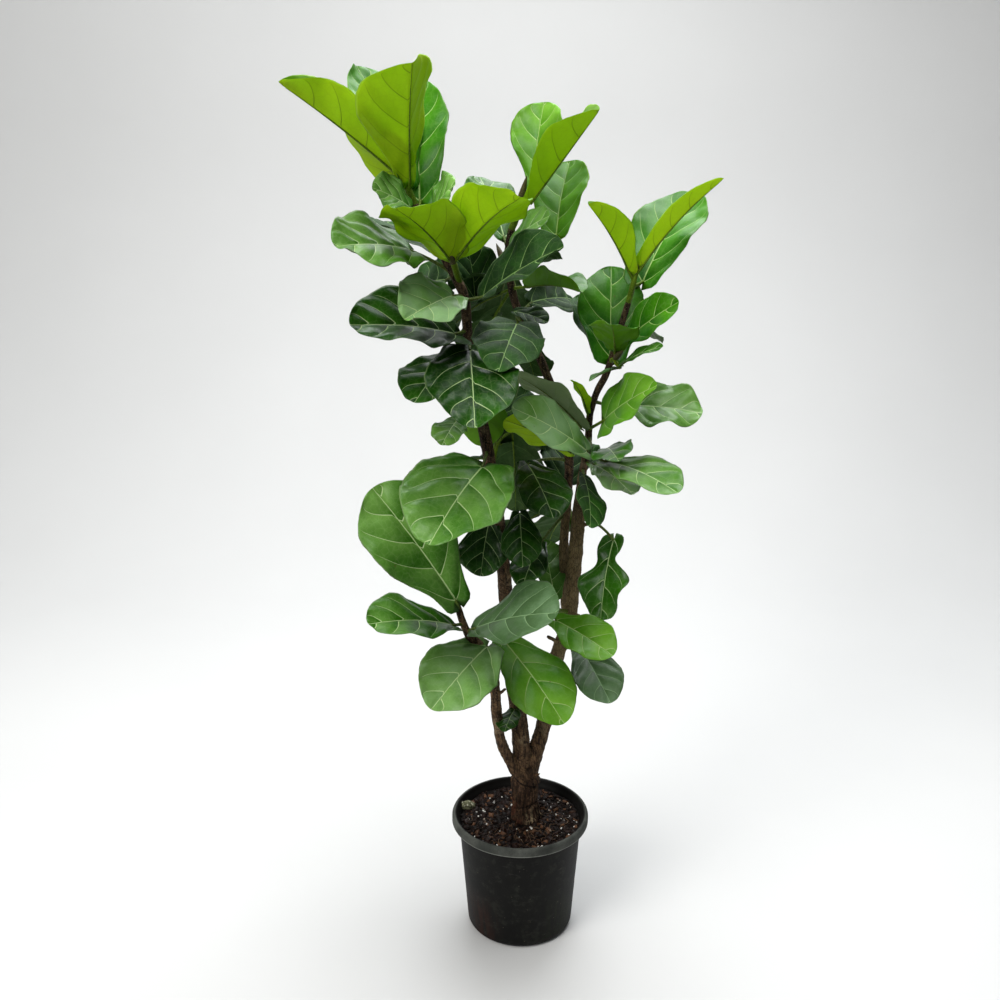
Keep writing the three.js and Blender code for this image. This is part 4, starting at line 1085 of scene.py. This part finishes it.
def arc(centre_r, centre_z, radius, start, end, steps):
    """Points (radius, height) of a rounded corner, angles in degrees."""
    turns = [math.radians(start + (end - start) * i / steps) for i in range(steps + 1)]
    return [(centre_r + radius * math.cos(a), centre_z + radius * math.sin(a)) for a in turns]


def closer(points, gap):
    """The same profile with no gap between points wider than asked."""
    close = [points[0]]
    for (r0, z0), (r1, z1) in zip(points, points[1:]):
        count = max(1, math.ceil(math.hypot(r1 - r0, z1 - z0) / gap))
        for i in range(1, count + 1):
            close.append((r0 + (r1 - r0) * i / count, z0 + (z1 - z0) * i / count))
    return close


def turned_body(name, tree, profile, material, sides, unevenness):
    """A body with the given profile, (radius, height) in order, all the way round."""
    mesh = bpy.data.meshes.new(name)
    points = [(r * MM, 0.0, z * MM) for r, z in profile]
    mesh.from_pydata(points, [(i, i + 1) for i in range(len(points) - 1)], [])
    inputs = {"Sides": sides, "Rows": len(points), "Unevenness": unevenness, "Skin": material}
    return shape_by(piece(name, mesh), tree, inputs)


# ------------------------ the pot and what fills it


def wall_radius(z):
    share = (z - POT_CORNER) / (POT_RIM_FOOT - POT_CORNER)
    return POT_FOOT_RADIUS + (POT_SHOULDER_RADIUS - POT_FOOT_RADIUS) * share


def pot_profile():
    underside = [(0, 0), (30, 0), (31.5, 2.5), (33, 4.5), (78, 4.5), (79.5, 2.5), (81, 0)]
    corner = arc(POT_FOOT_RADIUS - POT_CORNER, POT_CORNER, POT_CORNER, -90, 0, steps=8)
    rolled = [(wall_radius(225.8), 225.8), (121.6, 226.7), (122.6, POT_RIM_FOOT)]
    rolled += arc(132.6, 229.4, 2.4, -90, 0, steps=5)
    rolled += arc(POT_RIM_RADIUS - POT_ROLL, POT_HEIGHT - POT_ROLL, POT_ROLL, 0, 90, steps=8)
    rolled += [(127.6, 244.6), (126.3, 243), (125.4, 241), (POT_MOUTH_RADIUS, 239)]
    inner = [(POT_SHOULDER_RADIUS - POT_WALL, POT_RIM_FOOT), (102.5, 14), (100.4, 10.8)]
    inner += [(96.5, POT_FLOOR), (0, POT_FLOOR)]
    return closer(underside + corner + rolled + inner, gap=9)


def make_pot(lathe):
    pot = turned_body("nursery_pot", lathe, pot_profile(), POT, sides=144, unevenness=0.0012)
    holes = bmesh.new()
    for i in range(DRAIN_HOLES):
        angle = (i + 0.5) * TURN / DRAIN_HOLES
        x, y = DRAIN_CIRCLE_RADIUS * math.cos(angle), DRAIN_CIRCLE_RADIUS * math.sin(angle)
        bmesh.ops.create_cone(
            holes, cap_ends=True, segments=28, radius1=DRAIN_HOLE_RADIUS * MM,
            radius2=DRAIN_HOLE_RADIUS * MM, depth=3 * POT_FLOOR * MM,
            matrix=Matrix.Translation((x * MM, y * MM, POT_FLOOR / 2 * MM)),
        )
    cutter = piece("drain_holes")
    holes.to_mesh(cutter.data)
    holes.free()
    settle([pot])
    cut = pot.modifiers.new("drainage", "BOOLEAN")
    cut.operation = "DIFFERENCE"
    cut.solver = "EXACT"
    cut.object = cutter
    settle([pot])
    bpy.data.objects.remove(cutter)
    pot.data.materials.clear()
    pot.data.materials.append(POT)
    hand_over(pot, "pot", "pot")


def make_mix(lathe, ground_tree):
    top = []
    for i in range(SOIL_RINGS + 1):
        radius = (SOIL_EDGE_RADIUS + 0.8) * (1 - i / SOIL_RINGS)
        top.append((radius, SOIL_TOP + 1 + SOIL_MOUND * (1 - radius / SOIL_EDGE_RADIUS)))
    under = [(0, POT_FLOOR + 0.3), (wall_radius(12) - 9, POT_FLOOR + 0.3)]
    side = [(wall_radius(z) - SOIL_WALL_GAP, z) for z in (18, SOIL_SIDE_TOP)]
    profile = closer(under + side, gap=25) + top
    ground = turned_body("potting_mix", lathe, profile, MIX, sides=200, unevenness=0.0)
    shape_by(ground, ground_tree, {"Relief": 0.004, "Grain": 0.0016, "Skin": MIX})
    settle([ground])
    mark(ground, [0.3, 0.2, 0.3])
    return ground


def make_moss(lathe, scatter):
    """The mossy lump by the pot's left wall, covered with tufts."""
    profile = [(0, -7), (7, -6), (11, -1), (10, 4), (7, 8), (3, 10), (0, 10.5)]
    lump = turned_body("moss_lump", lathe, closer(profile, gap=1.5), MOSS, sides=48, unevenness=0.07)
    settle([lump])
    spread = Matrix.Diagonal((1.3, 0.9, 0.75, 1))
    lump.data.transform(Matrix.Translation(Vector(MOSS_LUMP) * MM) @ spread)
    mark(lump, [0.3, 0.2, 0.3])
    tufts = strew("moss_tufts", lump, scatter, MOSS, {
        "Count per m2": 500000.0, "Least size": 0.0015, "Most size": 0.006, "Flatness": 0.9,
        "Roundness": 0.3, "Tilt": 1.2, "Most radius": 0.13, "Least radius": 0.0,
        "Middle": (0.0, 0.0, 0.0), "Seed": 61,
    })
    settle([tufts])
    for ob in (lump, tufts):
        hand_over(ob, "soil")


def make_fibres(limb):
    """Thin pale roots and fibres that lie curled on the mix, most of them right of the trunk."""
    dice = random.Random(29)
    low = SOIL_TOP + 2.5
    paths = []
    for _ in range(FIBRES):
        angle = dice.gauss(-0.9, 1.3)
        radius = dice.uniform(38, 104)
        place = Vector((radius * math.cos(angle), radius * math.sin(angle), low))
        heading = dice.uniform(0, TURN)
        girth = dice.uniform(0.35, 0.8)
        path = []
        for i in range(9):
            path.append((place.copy(), girth * (1 - 0.08 * i)))
            heading += dice.uniform(-0.8, 0.8)
            place += Vector((math.cos(heading), math.sin(heading), 0)) * dice.uniform(2, 4.2)
            mound = SOIL_MOUND * (1 - place.xy.length / SOIL_EDGE_RADIUS)
            place.z = low + dice.uniform(0, 4) + mound
            if place.xy.length > SOIL_EDGE_RADIUS - 5:
                break
        if len(path) > 3:
            paths.append(path)
    fibres = skeleton("root_fibres", paths)
    shape_by(fibres, limb, {"Sides": 5, "Scar gap": 1.0, "Scar height": 0.0, "Skin": FIBRE})
    settle([fibres])
    mark(fibres, [0.6, 0.5, 0.2])
    hand_over(fibres, "soil")


def mark(ob, shades):
    """Gives the whole of a body the marks that loose bits carry each for itself."""
    marks = ob.data.attributes.new("bit", "FLOAT_VECTOR", "POINT")
    marks.data.foreach_set("vector", shades * len(ob.data.vertices))


def strew(name, ground, tree, material, inputs):
    """One kind of loose bit over the ground."""
    return shape_by(piece(name, ground.data.copy()), tree, inputs | {"Material": material})


# ------------------------ the plant


def leaf_frame(foot, tip, roll):
    """The leaf's own axes: X across, Y along the blade, Z out of its upper face."""
    along = (tip - foot).normalized()
    up = Vector((0, 0, 1))
    face = (up - along * along.z).normalized()
    side = along.cross(face)
    face = face * math.cos(roll) + side * math.sin(roll)
    side = along.cross(face)
    turn = Matrix((side, along, face)).transposed().to_4x4()
    return Matrix.Translation(foot * MM) @ turn


def grow_leaf(name, stem, plan, tree, phase, chance, soft_stem):
    """A leaf on its stem, as its row of the table plans it."""
    start, tip, root = point_at_height(stem, plan["at"]), Vector(plan["tip"]), plan["root"]
    lean = ((tip - start).normalized() + Vector((0, 0, STALK_RISE))).normalized()
    foot = Vector(root) if isinstance(root, tuple) else start + lean * root
    spread = leaf_frame(foot, tip, math.radians(plan["roll"]))
    length, width = (tip - foot).length, plan["width"]
    young = plan["tone"] in YOUNG_TONES
    stalk_root = spread.inverted() @ (start * MM)
    stalk_bend = stalk_root.lerp(Vector((0, -stalk_root.length * 0.35, 0)), 0.55)
    inputs = {trait.title(): plan[trait] for trait in ("arch", "waist", "wave", "widest")}
    for half, fold, lift in zip(("First", "Second"), plan["fold"], plan["lift"]):
        inputs |= {half + " fold": float(fold), half + " lift": float(lift)}
    inputs |= {
        "Length": length * MM,
        "Width": width * MM,
        "Phase": phase,
        "Thickness": BLADE_THICKNESS * MM,
        "Vein pairs": 3.0 + min(1.0, length / 220) + 0.5 * chance,
        "Vein shift": chance,
        "Pucker": 0.012 if young else 0.021,
        "Tone": max(0.0, min(1.0, TONES[plan["tone"]] + 0.12 * (chance - 0.5))),
        "Chance": chance,
        "Columns": BLADE_COLUMNS if width > SMALL_BLADE else SMALL_BLADE_COLUMNS,
        "Rows": BLADE_ROWS if length > SMALL_BLADE else SMALL_BLADE_ROWS,
        "Stalk root": tuple(stalk_root),
        "Stalk bend": tuple(stalk_bend),
        "Stalk radius": STALK_RADIUS * MM * (0.75 + 0.25 * min(1.0, width / 120)),
        "Blade": BLADES.get(plan["tone"], MATURE),
        "Stalk": YOUNG_STALK if young or soft_stem else STALK,
    }
    ob = shape_by(piece(name), tree, inputs)
    ob["spread"] = [value for row in spread for value in row]
    return ob


def settle_leaves(leaves):
    """Makes every leaf's mesh and lays it where the leaf grows."""
    settle(leaves)
    for ob in leaves:
        values = list(ob["spread"])
        del ob["spread"]
        ob.data.transform(Matrix([values[i:i + 4] for i in range(0, 16, 4)]))


def shoot_stem(name, rows, limb):
    """A green shoot and the pointed bud that ends it."""
    end, before = Vector(rows[-1][:3]), Vector(rows[-2][:3])
    ahead = (end - before).normalized()
    stem = skeleton(name + "_stem", [limb_path(rows)])
    shape_by(stem, limb, {"Sides": 16, "Scar gap": 0.013, "Scar height": 0.09, "Skin": YOUNG_STALK})
    path = [(end + ahead * BUD_LENGTH * along, BUD_RADIUS * girth) for along, girth in BUD_SHAPE]
    bud = skeleton(name + "_bud", [path])
    shape_by(bud, limb, {"Sides": 14, "Scar gap": 0.2, "Scar height": 0.0, "Skin": SHEATH})
    return [stem, bud]


def make_trunk(limb, bark):
    paths = [limb_path(rows) for rows in LIMBS.values()]
    for stem, height, end, radius in STUBS:
        start, end = point_at_height(LIMBS[stem], height), Vector(end)
        paths.append([(start.lerp(end, along), radius * girth) for along, girth in STUB_SHAPE])
    trunk = skeleton("trunk_bark", paths)
    inputs = {"Sides": LIMB_SIDES, "Scar gap": 0.036, "Scar height": 0.06, "Skin": BARK}
    shape_by(trunk, limb, inputs)
    fuse = trunk.modifiers.new("grown together", "REMESH")
    fuse.mode = "VOXEL"
    fuse.voxel_size = BARK_VOXEL * MM
    fuse.use_smooth_shade = True
    ease = trunk.modifiers.new("eased", "SMOOTH")
    ease.factor = 0.5
    ease.iterations = 2
    shape_by(trunk, bark, {"Relief": 0.0022, "Skin": BARK})
    settle([trunk])
    hand_over(trunk, "bark", "trunk")


def make_foliage(limb):
    """Every leaf and shoot of the table. The waves of each leaf start where a fixed draw puts them."""
    tree = leaf_tree()
    state = 5
    dice = random.Random(11)
    groups, leaves, stems = {}, [], []
    for stem, table in LEAVES.items():
        is_shoot = stem in SHOOTS
        rows = SHOOTS[stem] if is_shoot else LIMBS[stem.split("_")[1]]
        if is_shoot:
            groups[stem] = shoot_stem(stem, rows, limb)
            stems += groups[stem]
        for i, plan in enumerate(table, 1):
            state = (state * 1664525 + 1013904223) % 2**32
            phase = TURN * state / 2**32
            name = f"{stem}_{i:02d}"
            ob = grow_leaf(name, rows, plan, tree, phase, dice.random(), is_shoot)
            leaves.append(ob)
            groups.setdefault(stem if is_shoot else name, []).append(ob)
    settle(stems)
    settle_leaves(leaves)
    for node, parts in groups.items():
        ob = join(parts, "shoot_" + node if node in SHOOTS else node.replace("leaf", "blade"))
        hand_over(ob, "young_leaf" if node.startswith("crown") else "leaf", node)


lathe = lathe_tree()
limb = limb_tree()
make_pot(lathe)
ground = make_mix(lathe, rough_ground_tree())
scatter = scatter_tree()
loose = [
    strew("bark_chips", ground, scatter, CHIPS, {
        "Most size": 0.0135, "Flatness": 0.34, "Roundness": 0.05, "Sink": 0.25, "Tilt": 0.55,
    }),
    strew("fine_crumbs", ground, scatter, MIX, {
        "Count per m2": 70000.0, "Least size": 0.0016, "Most size": 0.0055, "Roundness": 0.5,
        "Most radius": 0.116, "Least radius": 0.031, "Fineness": 2, "Seed": 43,
    }),
    strew("perlite", ground, scatter, PERLITE, {
        "Count per m2": 4600.0, "Least size": 0.0014, "Flatness": 0.85, "Roundness": 0.9,
        "Sink": 0.0, "Fineness": 4, "Seed": 83,
    }),
]
settle(loose)
hand_over(ground, "soil", "soil")
for ob in loose:
    hand_over(ob, "soil")
make_moss(lathe, scatter)
make_fibres(limb)
make_trunk(limb, bark_tree())
make_foliage(limb)

# ------------------------ studio


def make_floor():
    """A pale floor that sweeps up behind the plant."""
    sweep = 1.6
    profile = [(-3.6, 0.0), (sweep, 0.0)]
    for i in range(1, 17):
        angle = i * math.pi / 32
        profile.append((sweep + sweep * math.sin(angle), sweep - sweep * math.cos(angle)))
    profile.append((2 * sweep, 4.6))
    points = [(x, y, z) for y, z in profile for x in (-5.0, 5.0)]
    faces = [(2 * i, 2 * i + 1, 2 * i + 3, 2 * i + 2) for i in range(len(profile) - 1)]
    mesh = bpy.data.meshes.new("studio_floor")
    mesh.from_pydata(points, [], faces)
    mesh.shade_smooth()
    mesh.materials.append(floor_material())
    piece("studio_floor", mesh)


def add_light(name, place, aim, size, power, colour):
    """A round soft light that looks at the plant's middle line, as high as aim."""
    light = bpy.data.lights.new(name, "AREA")
    light.shape = "DISK"
    light.size = size
    light.energy = power
    light.color = colour
    ob = bpy.data.objects.new(name, light)
    ob.location = place
    ob.rotation_euler = (Vector((0, 0, aim)) - Vector(place)).to_track_quat("-Z", "Y").to_euler()
    bpy.context.scene.collection.objects.link(ob)


make_floor()
add_light("window_left", (-2.4, -2.6, 3.4), aim=0.9, size=2.4, power=150, colour=(1.0, 0.99, 0.96))
add_light("top", (0.2, -0.2, 4.2), aim=1.0, size=2.6, power=120, colour=(1, 1, 1))
add_light("behind", (0.3, 1.5, 3.5), aim=1.0, size=2.6, power=110, colour=(0.95, 0.98, 1.0))
world = bpy.data.worlds.new("studio")
bpy.context.scene.world = world
world.use_nodes = True
sky = world.node_tree.nodes["Background"].inputs
sky["Color"].default_value = (0.94, 0.97, 1.0, 1)
sky["Strength"].default_value = 0.16
bpy.context.scene.view_settings.view_transform = "Standard"

CAMERA_DIP = 17.45
camera = bpy.data.cameras.new("camera")
camera.lens = 42.05
camera.sensor_width = 36
camera_ob = bpy.data.objects.new("camera", camera)
camera_ob.location = (-0.040, -2.030, 1.530)
camera_ob.rotation_euler = (math.radians(90 - CAMERA_DIP), 0, 0)
bpy.context.scene.collection.objects.link(camera_ob)
bpy.context.scene.camera = camera_ob
